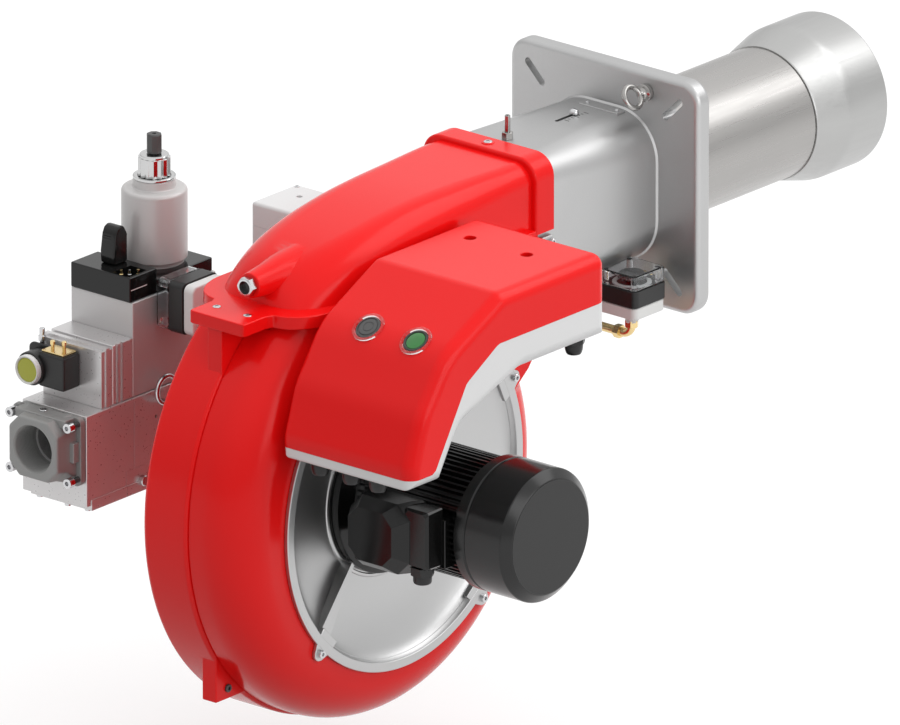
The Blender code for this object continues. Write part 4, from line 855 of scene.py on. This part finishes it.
def make_switch(prefix, centre, faces, stub_at, scale, lift=0.0):
    """Pressure switch with pale base, black body, clear cover, dial and terminals.

    It is drawn upright and 54 mm square, then scaled, turned and lifted. stub_at is the place of its stub."""
    half = 27.0

    def keep(obj, material, node=None, **rest):
        grow = Matrix.Diagonal((scale, scale, 1 + (scale - 1) * 0.6, 1))
        obj.data.transform(Matrix.Translation((Vector(centre) + Vector((0, 0, lift))) * MM) @ faces @ grow)
        dress(obj, material, node, 30, **rest)

    base = soften(prism(prefix + "_foot", rounded(half - 1, half - 1, 7, 8), -26, -12, "Z"), 2, 3)
    stub = cylinder("stub", "Z", stub_at[0] / scale, stub_at[1] / scale, 8 / scale, -32 - lift, -25, 48)
    fuse(base, stub)
    keep(base, WHITE_PLASTIC, prefix + "_base")
    body = soften(prism(prefix + "_block", rounded(half, half, 7, 8), -12 + FIT, 8, "Z"), 1.2, 3)
    fuse(body, cylinder("column", *UPRIGHT, 5, 7, 14, 40))
    cut(body, torus("groove", (0, 0, 0.4), (0, 0, 1), 60, 1, 8, 24))
    keep(body, BLACK_PLASTIC, prefix + "_body")
    knob = fluted(0, 0, 30, [(-0.3, 14.4), (-0.12, 15), (0.12, 15), (0.3, 14.4)])
    dial = prism(prefix + "_knob", knob, 14 + FIT, 17, "Z")
    fuse(dial, turned("crown", *UPRIGHT, [(0, 16.5), (13.6, 16.5), (13.6, 17.8), (12.9, 18.5), (0, 18.5)], 72))
    cut(dial, box("slit", (-9, 9), (-1, 1), (17.4, 20)))
    keep(dial, DIAL_PLASTIC, prefix + "_dial", body=prefix[:3] + "_dial")
    cover = soften(prism(prefix + "_lid", rounded(half - 0.5, half - 0.5, 7, 8), 8 + FIT, 26, "Z"), 2.8, 4)
    cut(cover, prism("hollow", rounded(half - 2.4, half - 2.4, 5, 8), 6, 24, "Z"))
    keep(cover, CLEAR, prefix + "_cover")
    profile = [(0, 8.1), (3.6, 8.1), (3.2, 23.6), (0, 23.6)]
    posts = [turned("post", "Z", x, y, profile, 32) for x in (-19.5, 19.5) for y in (-19.5, 19.5)]
    keep(join(prefix + "_posts", posts), RIM_CLEAR)
    strip = soften(box(prefix + "_strip", (-12, 12), (17.6, 23.4), (8.1, 13)), 0.6, 2)
    keep(strip, DIAL_PLASTIC, slot="black_plastic")
    heads = [pan_screw("head", (x, 20.5, 13), (0, 0, 1), 2.4, 1.2) for x in (-8, 0, 8)]
    keep(join(prefix + "_terminals", heads), BRASS)
    ring = turned(prefix + "_scale", *UPRIGHT, [(15.8, 8.1), (20.5, 8.1), (20.5, 9.4), (15.8, 9.4)], 72)
    keep(ring, WHITE_PLASTIC)


# ---------------------------------------------------------------- gas train


def make_gas_train():
    x0, x1, front, back = GAS_X - 51, GAS_X + 51, -691.0, -450.0
    middle, roof = -182, -62
    lower = box("valve", (x0, x1), (front, back), (-298, middle))
    soften(lower, 1.6, 3)
    foot = soften(box("foot", (x0 + 6, x1 + 1.4), (front + 8, back - 60), (-304, -290)), 1.0, 2)
    fuse(lower, foot)
    grooves = [box("line", (x1 - 0.5, x1 + 2), (-603.6, -602.8), (-272, -180)),
               box("line", (x1 - 0.5, x1 + 5), (-618.4, -617.8), (-310, -271)),
               box("line", (x1 - 0.5, x1 + 5), (-618.4, -500), (-271.6, -271))]
    dots = [cylinder("dot", "X", -563.5, z, 2.2, x1 - 8, x1 + 4, 24) for z in (-216, -238)]
    cut(lower, cylinder("passage", *PASSAGE, 26, front - 20, back + 20, 96), *grooves, *dots)
    dress(lower, MILLED, "valve_body", 24)
    dress(turned("side_plug", "X", -590, -290, [(0, x1), (6.4, x1), (6.4, x1 + 5), (5.6, x1 + 6),
        (0, x1 + 6)], 40), STEEL)
    places = [(x0 + 14, front + 16, -304), (x1 - 12, front + 16, -304), (x1 - 6, -560, -304),
              (x0 + 60, front + 14, -304)]
    dress_row("foot_bolt", socket_screw, places, (0, 0, -1), 4.2, 4)

    upper = box("valve_block", (x0 + 2, x1 - 2), (-603, back), (middle + FIT, roof))
    soften(upper, 1.6, 3)
    step = soften(box("valve_step", (x0 + 2, x1 - 2), (-640, -603.1), (middle + FIT, -106)), 1.6, 3)
    plates = []
    for y0, y1, top, side in ((-646, -640, -110, 3), (-652, -646.4, -107, 0.5), (-659, -652.6, -110, 4)):
        plates.append(box("leaf", (x0 + 2 + side, x1 - 2 - side * 0.4), (y0, y1 + 0.7), (middle + FIT, top)))
    fuse(step, *plates)
    flutes = [box("flute", (x1 - 4.4, x1 + 2), (y, y + 4), (-190, -100)) for y in (-634.5, -626)]
    cut(step, *flutes)
    dress(step, MILLED, angle=24)
    dress(upper, SATIN, "valve_upper", 24)

    top = -44.0
    terminal = box("terminal_base", (x0 + 4, x1 - 4), (-606, -556), (roof + FIT, -30))
    wing = box("wing", (x0 + 4, x1 - 4), (-560, back - 4), (roof + FIT, -44))
    fuse(terminal, wing)
    soften(terminal, 1.8, 3)
    pocket = box("pocket", (x1 - 34, x1 - 8), (-603, -570), (-41, -20))
    slit = box("slit", (x1 - 5, x1), (-604, -574), (-47, -45.6))
    cut(terminal, pocket, slit)
    dress(terminal, BLACK, "valve_terminals", 26)
    dress(box("terminal_strip", (x1 - 4.9, x1 - 4.15), (-603.6, -574.4), (-46.9, -45.7)), WHITE_PLASTIC)
    for i, (x, y) in enumerate(((x1 - 28, -594), (x1 - 20, -588), (x1 - 13, -580))):
        dress(turned("valve_terminal_%d" % i, "Z", x, y, [(0, -41.1), (2.6, -41.1), (2.6, -33), (1.6, -32.4),
            (1.6, -27.5), (0, -27)], 28), BRASS if i != 1 else SCREW, slot="brass")

    profile = [(0, top + FIT), (36, top + FIT), (36, top + 6), (40, top + 7), (40, 45)]
    profile += [(35 + 5 * c, 45 + 5 * s) for c, s in quarter(6)[1:]]
    profile += [(27.4, 50.4), (26.5, 51.2), (26, 52.8), (26, 60), (25.4, 61.4), (24, 62), (0, 62)]
    coil = turned("coil", *COIL, profile, 128)
    cut(coil, cylinder("socket", *COIL, 9, 20, 80, 48))
    dress(coil, COIL_SHELL, "solenoid", 40)
    dress(turned("coil_ring", *COIL, [(20.6, 62.05), (25.8, 62.05), (26.2, 63), (26.0, 64.4), (25.2, 65.0),
        (24.2, 64.2), (23.4, 64.0), (21.6, 64.4), (20.6, 64.2)], 128), CHROME)
    grips = [(k / 6, 20 - 1.7 * math.sin(math.pi * k / 6) ** 1.5) for k in range(6)]
    cap = prism("cap", fluted(GAS_X, -506, 14, grips), 58 + FIT, 88, "Z")
    soften(cap, 0.7, 2, 60)
    crown = turned("crown", *COIL, [(0, 87), (18.0, 87), (18.0, 90.4), (17.4, 91.4), (16.4, 92), (0, 92)], 96)
    lip = turned("lip", *COIL, [(0, 58.4), (20.3, 58.4), (20.3, 61.5), (0, 61.5)], 96)
    stem = turned("stem", *COIL, [(0, 30), (8.5, 30), (8.5, 60), (0, 60)], 48)
    fuse(cap, crown, lip, stem)
    cut(cap, cylinder("socket", *COIL, 6.3, 80, 100, 48))
    dress(cap, CHROME, "adjuster_cap", 24, body="flow_adjuster")
    pin = turned("adjuster", *COIL, [(0, 80.3), (6, 80.3), (6, 93.3), (9.5, 93.3), (9.5, 115.4), (8.9, 116.4),
        (8.2, 117), (2.6, 117), (2.2, 113), (0, 113)], 8, math.pi / 8)
    soften(pin, 0.5, 2, 40)
    dress(pin, DARK_STEEL, "adjuster_pin", 24, body="flow_adjuster")

    shell = prism("plug_shell", [(-585, -30 + FIT), (-560.5, -30 + FIT), (-560.5, 6), (-566, 16), (-573, 18),
        (-579, 15), (-582.5, 8), (-586, -14)], -318, -295, "X")
    soften(shell, 3, 3, 20)
    notch = cylinder("notch", "X", -585.5, 3, 3.6, -325, -302, 32)
    cut(shell, notch)
    dress(shell, BLACK, "solenoid_plug", 26)

    face = -731.0
    plate_face = front - FIT
    inlet = soften(prism("inlet", rounded(50, 44, 9, 8, GAS_X, GAS_Z - 2), plate_face - 9, plate_face, "Y"), 1.2, 3)

    def octagon(h, c):
        pts = [(h, -h + c), (h, h - c), (h - c, h), (-h + c, h), (-h, h - c), (-h, -h + c), (-h + c, -h), (h - c, -h)]
        return [(GAS_X + x, GAS_Z + z) for x, z in pts]

    neck = loft("neck", [(face, octagon(36.5, 15)), (face + 2.2, octagon(38.5, 16)), (face + 16, octagon(39.5, 15)),
        (face + 24, octagon(42, 12)), (plate_face - 5, octagon(43.5, 10))], "Y")
    soften(neck, 2.2, 3, 20)
    shelf = soften(box("shelf", (GAS_X - 40, GAS_X + 40), (face + 13, plate_face - 4),
                       (GAS_Z + 30, GAS_Z + 41.4)), 2, 3)
    rib = soften(box("rib", (GAS_X + 36, GAS_X + 47), (face + 21, plate_face - 4), (GAS_Z - 14, GAS_Z + 12)), 2, 3)
    fuse(inlet, neck, shelf, rib)
    bore = turned("bore", *PASSAGE, [(0, face - 5), (30.5, face - 5), (30.5, face), (29, face + 1.8),
        (29, plate_face + 10), (0, plate_face + 10)], 128)
    slots = [box("slot", (GAS_X - 34 + 38 * k, GAS_X - 12 + 38 * k), (plate_face - 8, plate_face - 7),
                 (GAS_Z + 41, GAS_Z + 50)) for k in (0, 1)]
    cut(inlet, bore, *slots)
    dress(inlet, SAND_CAST, "gas_inlet", 26)
    threads = [torus("thread", (GAS_X, face + 3.4 + 2.31 * k, GAS_Z), (0, 1, 0), 29.3, 0.95, 8, 96) for k in range(14)]
    dress(join("inlet_thread", threads), SAND_CAST, weighted=False)
    dress(socket_screw("inlet_plug", (GAS_X - 4, -706, GAS_Z + 41.4), (0, 0, 1), 5, 2.2), SCREW)
    for i, (x, z) in enumerate(((-45.6, 34), (45.6, 34), (-45.6, -36), (45.6, -36))):
        base = (GAS_X + x, -712.5, GAS_Z + z)
        dress(socket_screw("inlet_screw_%d" % i, base, (0, -1, 0), 6.2, 9), SCREW)
        name = "inlet_shank_%d" % i
        shank = [cylinder(name, "Y", base[0], base[2], 3.4, -712.4, -700.2, 32)]
        shank += [torus("coil", (base[0], -711.8 + 1.25 * k, base[2]), (0, 1, 0), 3.3, 0.55, 8, 32) for k in range(10)]
        dress(join(name, shank), DARK_STEEL if i % 2 else SCREW, weighted=False)
        if x < 0:
            profile = [(3.6, -706), (7.4, -706), (8.2, -700), (3.6, -700)]
            dress(soften(turned("inlet_boss_%d" % i, "Y", base[0], base[2], profile, 40), 0.6, 2), SAND_CAST)

    cube = soften(box("din_plug", (-326, -286), (-690, -659 - FIT), (-160, -118)), 2.4, 3)
    seat = turned("seat", *INDICATOR, [(0, -672), (21, -672), (21, -692.6), (20.2, -694), (0, -694)], 96)
    arm = soften(box("arm", (-350, -322), (-688, -672), (-158, -124)), 4, 3)
    fuse(cube, seat, arm)
    fuse(cube, box("lidline", (-325, -287), (-689.2, -660.8), (-119, -116.4)))
    dress(cube, BLACK_PLASTIC, "valve_plug", 30)
    dress(soften(box("din_plate", (-323, -289), (-687, -663), (-116.3, -114)), 0.6, 2), BRASS)
    for i, (x, y) in enumerate(((-315, -676), (-302, -670))):
        dress(turned("din_pin_%d" % i, "Z", x, y, [(0, -114), (2.2, -114), (2.2, -109), (3.2, -108.4), (3.2, -104.6),
            (2.6, -103.8), (0, -103.8)], 28), BRASS)
    nipple = turned("valve_nipple", "Z", -342, -664, [(0, -113), (4.6, -113), (4.6, -107), (3.4, -106), (3.4, -98),
        (2.6, -97), (0, -97)], 32)
    foot_ring = turned("nipple_foot", "Z", -342, -664, [(0, -124), (3, -124), (3, -112.5), (0, -112.5)], 24)
    fuse(nipple, foot_ring)
    dress(nipple, SCREW)
    dress(soften(prism("valve_dial_plate", rounded(23.4, 26, 8, 8, -333.2, -141), -671.6, -667.6, "Y"), 1.2, 3),
          BLACK_PLASTIC)
    dress(turned("dial_disc", *INDICATOR, [(0, -694.3), (15, -694.3), (15, -698.6), (13, -699.2), (0, -699.2)], 96),
          YELLOW, "indicator_lens", 40)
    dress(turned("dial_ring", *INDICATOR, [(15.2, -694.2), (18.4, -694.2), (18.4, -698.8), (17.4, -700.6),
        (16.2, -700.6), (15.2, -699.4)], 96), WHITE_PLASTIC)

    outlet = [(GAS_X, back + FIT, GAS_Z), (GAS_X, RISER_Y, GAS_Z), (RISER_X, RISER_Y, GAS_Z),
              (RISER_X, RISER_Y, -HEAD_H - FIT)]
    pipe = bent_tube("manifold", outlet, 30, 62, 26.5, 48, 14)
    near = soften(prism("flange", rounded(48, 46, 12, 8, GAS_X, GAS_Z), back + FIT, back + 16, "Y"), 1.2, 2)
    cut(near, cylinder("hole", *PASSAGE, 28.5, back - 10, back + 30, 48))
    far = soften(prism("top", rounded(40, 38, 10, 8, RISER_X, RISER_Y), -HEAD_H - 12, -HEAD_H - FIT, "Z"), 1.2, 2)
    cut(far, cylinder("hole", *RISER, 28.5, -120, -80, 48))
    fuse(pipe, near, far)
    dress(pipe, PIPE_PAINT, "gas_manifold", 30)
    places = [(GAS_X + x, back + 16, GAS_Z + z) for z in (33, -33) for x in (-36, 36)]
    dress_row("manifold_nut", hex_nut, places, (0, 1, 0), 13, 6.5)
    places = [(RISER_X + x, RISER_Y + y, -HEAD_H - 12) for y in (-28, 28) for x in (-30, 30)]
    dress_row("riser_nut", hex_nut, places, (0, 0, -1), 13, 6.5)

    eye = torus("lift_ring", (x1 + 11, -557, -181), (1, 0, 0), 17, 3)
    fuse(eye, cylinder("shank", "X", -557, -198, 4, x1 + FIT, x1 + 12, 32))
    dress(eye, SCREW, "valve_eye")


# ---------------------------------------------------------------- intake, damper and servomotor


def make_intake():
    outline = [(-600, -370), (-368, -370), (-368, -66), (-540, -66), (-600, -160)]
    x0, x1 = -184.0, -65.3
    body = soften(prism("intake", outline, x0, x1, "X"), 5, 4)
    hollow = prism("hollow", inset(outline, 4), x0 + 4, x1 - 4, "X")
    mouth = box("mouth", (x0 + 4, x1 - 4), (-380, -360), (-366, -70))
    eye = cylinder("eye", *FAN, 92, x1 - 10, x1 + 10, 96)
    cut(body, hollow, mouth, eye, cylinder("bearing", *HINGE, 6.4, -90, -40, 48))
    bars = [soften(box("bar", (x0 + 1, x1 - 1), (-376, -371), (z, z + 3)), 0.8, 2) for z in range(-345, -90, 60)]
    seam = soften(prism("seam", inset(outline, 22), x0 - 1.2, x0 + 1, "X"), 1.2, 2)
    fuse(body, *bars, seam)
    dress(body, RED, "intake_box", 30)
    places = [(x0, y, z) for y, z in ((-586, -358), (-381, -358), (-381, -79), (-534, -79), (-586, -170), (-484, -359))]
    dress_row("intake_screw", socket_screw, places, (-1, 0, 0), 4.6, 4.2)
    blade = box("damper", (-175, -93), (-420.5, -417.5), (-364.5, -72))
    soften(blade, 0.8, 2)
    fuse(blade, cylinder("shaft", *HINGE, 6, -364.5, -50, 48))
    dress(blade, GALVANISED, "damper_blade", body="damper")
    servo = box("servo", (-186, -96), (-461, -377), (-66 + FIT, 44))
    soften(servo, 4.5, 4)
    line = box("line", (-200, -80), (-470, -370), (14, 14.8))
    shell = soften(box("shell", (-185.4, -96.6), (-460.4, -377.6), (10, 18)), 4.2, 4)
    cut(servo, cylinder("socket", *HINGE, 6.5, -80, -45, 48), line)
    fuse(servo, shell)
    cut(servo, cylinder("hole", "Z", -153, -410, 3.8, 36, 50, 40))
    dress(servo, GREY_PLASTIC, "servomotor")
    dress_row("servo_screw", pan_screw, [(x, -385, 44) for x in (-178, -104)], (0, 0, 1), 3.2, 1.2)


# ---------------------------------------------------------------- combustion head and fittings


def make_combustion_head():
    chamber = turned("elbow", *BLAST, [(0, -214), (34, -214), (36, -210), (36, -134), (34, -130), (0, -130)], 64)
    fuse(chamber, cylinder("riser", *RISER, 24, -89 + FIT, 0, 64))
    cut(chamber, cylinder("hollow", *BLAST, 30, -208, -150, 64), cylinder("drill", *RISER, 20, -94, 0, 64),
        cylinder("socket", *BLAST, 22.3, -160, -120, 64))
    dress(chamber, CAST, "gas_elbow")
    lance = turned("lance", *BLAST, [(19, -170), (22, -170), (22, 299), (22.6, 301), (37.2, 315), (38, 317),
        (38, 339.4), (37.4, 340), (35.6, 340), (35, 339.4), (35, 318), (19, 302)], 128)
    jets = []
    for i in range(12):
        jet = cylinder("jet", "Z", 0, 328, 2.6, 30, 45, 20)
        jet.data.transform(Matrix.Rotation(2 * math.pi * i / 12, 4, "Y"))
        jets.append(jet)
    cut(lance, join("jets", jets))
    dress(lance, HEAT_STEEL, "gas_lance", 30, body="firing_head")
    disc = turned("diffuser", *BLAST, [(38 + FIT, 322), (56, 328.6), (69.4, 333.8), (70, 334.4), (70, 336.4),
        (69.4, 337), (56, 331.8), (38 + FIT, 325)], 128)
    slots = []
    for i in range(16):
        slot = box("slot", (46, 64), (310, 350), (-1.4, 1.4))
        slot.data.transform(Matrix.Rotation(math.radians(14), 4, "Z"))
        slot.data.transform(Matrix.Rotation(2 * math.pi * (i + 0.5) / 16, 4, "Y"))
        slots.append(slot)
    cut(disc, join("slots", slots), cylinder("lead", "Y", 0, 50, 4.5, 300, 360, 40))
    dress(disc, HEAT_STEEL, "diffuser_disc", 30, body="firing_head")
    dress(bent_tube("spark_rod", [(0, -60, 30), (0, 280, 30), (0, 306, 50), (0, 352, 50)], 2, 12, None, 20, 8),
          DARK_STEEL, body="firing_head", slot="white_plastic")
    dress(turned("electrode_skin", "Y", 0, 30, [(2.05, 60), (4.2, 60), (5, 63), (5, 157), (4.2, 160), (2.05, 160)],
                 48), CERAMIC, "electrode", body="firing_head")
    dress(soften(box("electrode_clip", (-3, 3), (90, 110), (22.3, 25.6)), 0.5, 2), SCREW, body="firing_head")
    index = turned("index", "Z", 0, -80, [(0, 22.3), (2, 22.3), (2, HEAD_H + FIT), (5.4, HEAD_H + FIT),
        (6, HEAD_H + 0.8), (6, HEAD_H + 3), (5.4, HEAD_H + 4.8), (4, HEAD_H + 6.2), (2, HEAD_H + 6.9),
        (0, HEAD_H + 7)], 64)
    cut(index, box("slit", (-4.5, 4.5), (-80.6, -79.4), (HEAD_H + 5.2, HEAD_H + 9)))
    dress(index, SCREW, "index_screw", 40, body="firing_head")


def make_fittings():
    x, z = 68.0, 124.0
    eye = torus("eyebolt_skin", (x, -52, z), (0.86, 0, 0.5), 13.5, 3.4)
    shank = turned("shank", "Y", x, z, [(0, -39.5), (4.6, -39.5), (5.2, -37), (6, -34.6), (7.6, -33.4), (10, -33),
        (11, -32), (11, -26.4), (10.2, -25.3), (0, -25.3)], 64)
    fuse(eye, shank)
    dress(eye, DARK_CHROME, "eyebolt", 40)
    cx, cy, cz = 94.0, -84.0, -112.0
    port = [(cx, cy, cz - 32.3), (cx, cy, cz - 52), (30, cy, cz - 52), (30, cy, -HEAD_H - FIT)]
    dress(bent_tube("elbow_pipe", port, 5.5, 14, None, 32, 10), BRASS, "air_switch_elbow")
    for i, (base, way) in enumerate((((cx, cy, cz - 33), (0, 0, -1)), ((cx - 16, cy, cz - 52), (-1, 0, 0)),
            ((30, cy, -HEAD_H - 12), (0, 0, 1)))):
        dress(hex_nut("elbow_nut_%d" % i, base, way, 15, 9), BRASS)
    nipple = turned("nipple", "Z", -4, -200, [(0, HEAD_H + 8), (3.5, HEAD_H + 8), (3.5, HEAD_H + 29.2),
        (3.1, HEAD_H + 30), (1.8, HEAD_H + 30), (1.6, HEAD_H + 29), (1.6, HEAD_H + 12), (0, HEAD_H + 12)], 48)
    hexagon = move(hex_nut("hex", (0, 0, 0), (0, 0, 1), 12.4, 8.6), -4, -200, HEAD_H + FIT)
    fuse(nipple, hexagon)
    dress(nipple, DARK_CHROME, "pressure_nipple", slot="brass")


make_head()
make_scroll()
make_duct()
make_motor_plate()
make_motor()
make_control_box()
make_buttons()
make_switch("air_switch", (94.0, -84.0, -112.0), Matrix.Identity(4), (0, 0), 1.13, 7.0)
sideways = Matrix.Rotation(math.radians(-90), 4, "Y") @ Matrix.Rotation(math.radians(90), 4, "Z")
make_switch("gas_switch", (-216.3, -535.0, -70.0), sideways, (0, 12), 1.22)
make_gas_train()
make_intake()
make_combustion_head()
make_fittings()

for name, material in (("impeller", GALVANISED), ("motor_shaft", STEEL), ("cooling_fan", BLACK_PLASTIC),
                       ("reset_switch", BLACK_PLASTIC), ("flame_switch", BLACK_PLASTIC)):
    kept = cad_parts[name].data
    kept.materials.clear()
    kept.materials.append(material)


# ---------------------------------------------------------------- camera, floor and light

AZIMUTH, ELEVATION = 40.2, 19.8
LENS, SENSOR = 1300.0, 36.0
VIEW_WIDTH, NEAR_GAP = 1.0817, 0.12
AIM_ACROSS, AIM_DOWN = -0.2011, 0.2302
FLOOR_REACH, FLOOR_Z = 30.0, -0.62
FLOOR_GREY, FLOOR_LIFT = 0.40, 0.62


def new_thing(name, data):
    obj = bpy.data.objects.new(name, data)
    bpy.context.scene.collection.objects.link(obj)
    return obj


def look(obj, at, direction):
    obj.location = at
    obj.rotation_mode = "QUATERNION"
    obj.rotation_quaternion = direction.to_track_quat("-Z", "Y")


azimuth, elevation = math.radians(AZIMUTH), math.radians(ELEVATION)
level = math.cos(elevation)
back = Vector((math.sin(azimuth) * level, -math.cos(azimuth) * level, math.sin(elevation)))
across = Vector((math.cos(azimuth), math.sin(azimuth), 0))
camera_data = bpy.data.cameras.new("camera")
camera_data.sensor_width = SENSOR
camera_data.lens = LENS
camera_data.clip_end = 200.0
camera = new_thing("camera", camera_data)
aim_at = across * AIM_ACROSS - back.cross(across) * AIM_DOWN
look(camera, aim_at + back * (NEAR_GAP + VIEW_WIDTH * camera_data.lens / camera_data.sensor_width), -back)
bpy.context.scene.camera = camera

floor_mesh = bpy.data.meshes.new("floor")
corners = [(x * FLOOR_REACH, y * FLOOR_REACH, FLOOR_Z) for x, y in ((-1, -1), (1, -1), (1, 1), (-1, 1))]
floor_mesh.from_pydata(corners, [], [(0, 1, 2, 3)])
floor = new_thing("floor", floor_mesh)

# The floor is grey enough to keep a shadow, and lifted to white for the camera, mirrors and glass.
paper, tree, plain = new_material("white_paper")
tree.nodes.remove(plain)
seen = add_node(tree, "LightPath", {})
either = add_node(tree, "Math", {0: seen["Is Camera Ray"], 1: seen["Is Glossy Ray"]}, operation="MAXIMUM")[0]
third = add_node(tree, "Math", {0: either, 1: seen["Is Transmission Ray"]}, operation="MAXIMUM")[0]
lift = add_node(tree, "Math", {0: third, 1: FLOOR_LIFT}, operation="MULTIPLY")[0]
glow = add_node(tree, "Emission", {"Color": (1, 1, 1, 1), "Strength": lift})[0]
diffuse = add_node(tree, "BsdfDiffuse", {"Color": (FLOOR_GREY, FLOOR_GREY, FLOOR_GREY, 1)})[0]
both = add_node(tree, "AddShader", {0: diffuse, 1: glow})[0]
feed(tree, tree.nodes["Material Output"], {"Surface": both})
floor_mesh.materials.append(paper)

# The world is dark below, and bright above and beyond. The camera and glass see it white, and mirrors see half of that.
world = bpy.data.worlds.new("studio")
bpy.context.scene.world = world
world.use_nodes = True
sky = world.node_tree
parts = add_node(sky, "SeparateXYZ", {"Vector": add_node(sky, "TexCoord", {})["Generated"]})
ramp = {"From Min": 0.0, "From Max": 0.8}
above = add_node(sky, "MapRange", {**ramp, "To Min": 0.30, "To Max": 1.15, "Value": parts["Z"]},
                 interpolation_type="SMOOTHSTEP")
beyond = add_node(sky, "MapRange", {**ramp, "To Max": 0.30, "Value": parts["Y"]}, interpolation_type="SMOOTHSTEP")
total = add_node(sky, "Math", {0: above["Result"], 1: beyond["Result"]}, operation="ADD")[0]
rays = add_node(sky, "LightPath", {})
through = add_node(sky, "Math", {0: rays["Is Camera Ray"], 1: rays["Is Transmission Ray"]}, operation="MAXIMUM")[0]
mirrored = add_node(sky, "Math", {0: rays["Is Glossy Ray"], 1: 0.5, 2: through}, operation="MULTIPLY_ADD")[0]
mixed = add_node(sky, "Mix", {"Factor": mirrored, "A": total, "B": 1.0})["Result"]
feed(sky, sky.nodes["Background"], {"Color": (1, 1, 1, 1), "Strength": mixed})

AIM_POINT = Vector((-0.1, -0.4, -0.15))
for name, at, size, watts in (("key", (1.6, 1.9, 2.6), (2.6, 2.2), 32), ("side", (3.1, -0.4, 0.9), (2.4, 1.8), 26)):
    data = bpy.data.lights.new(name, "AREA")
    data.shape = "RECTANGLE"
    data.size, data.size_y = size
    data.energy = watts
    look(new_thing(name, data), at, AIM_POINT - Vector(at))

bpy.context.scene.view_settings.view_transform = "Standard"

bpy.context.view_layer.update()
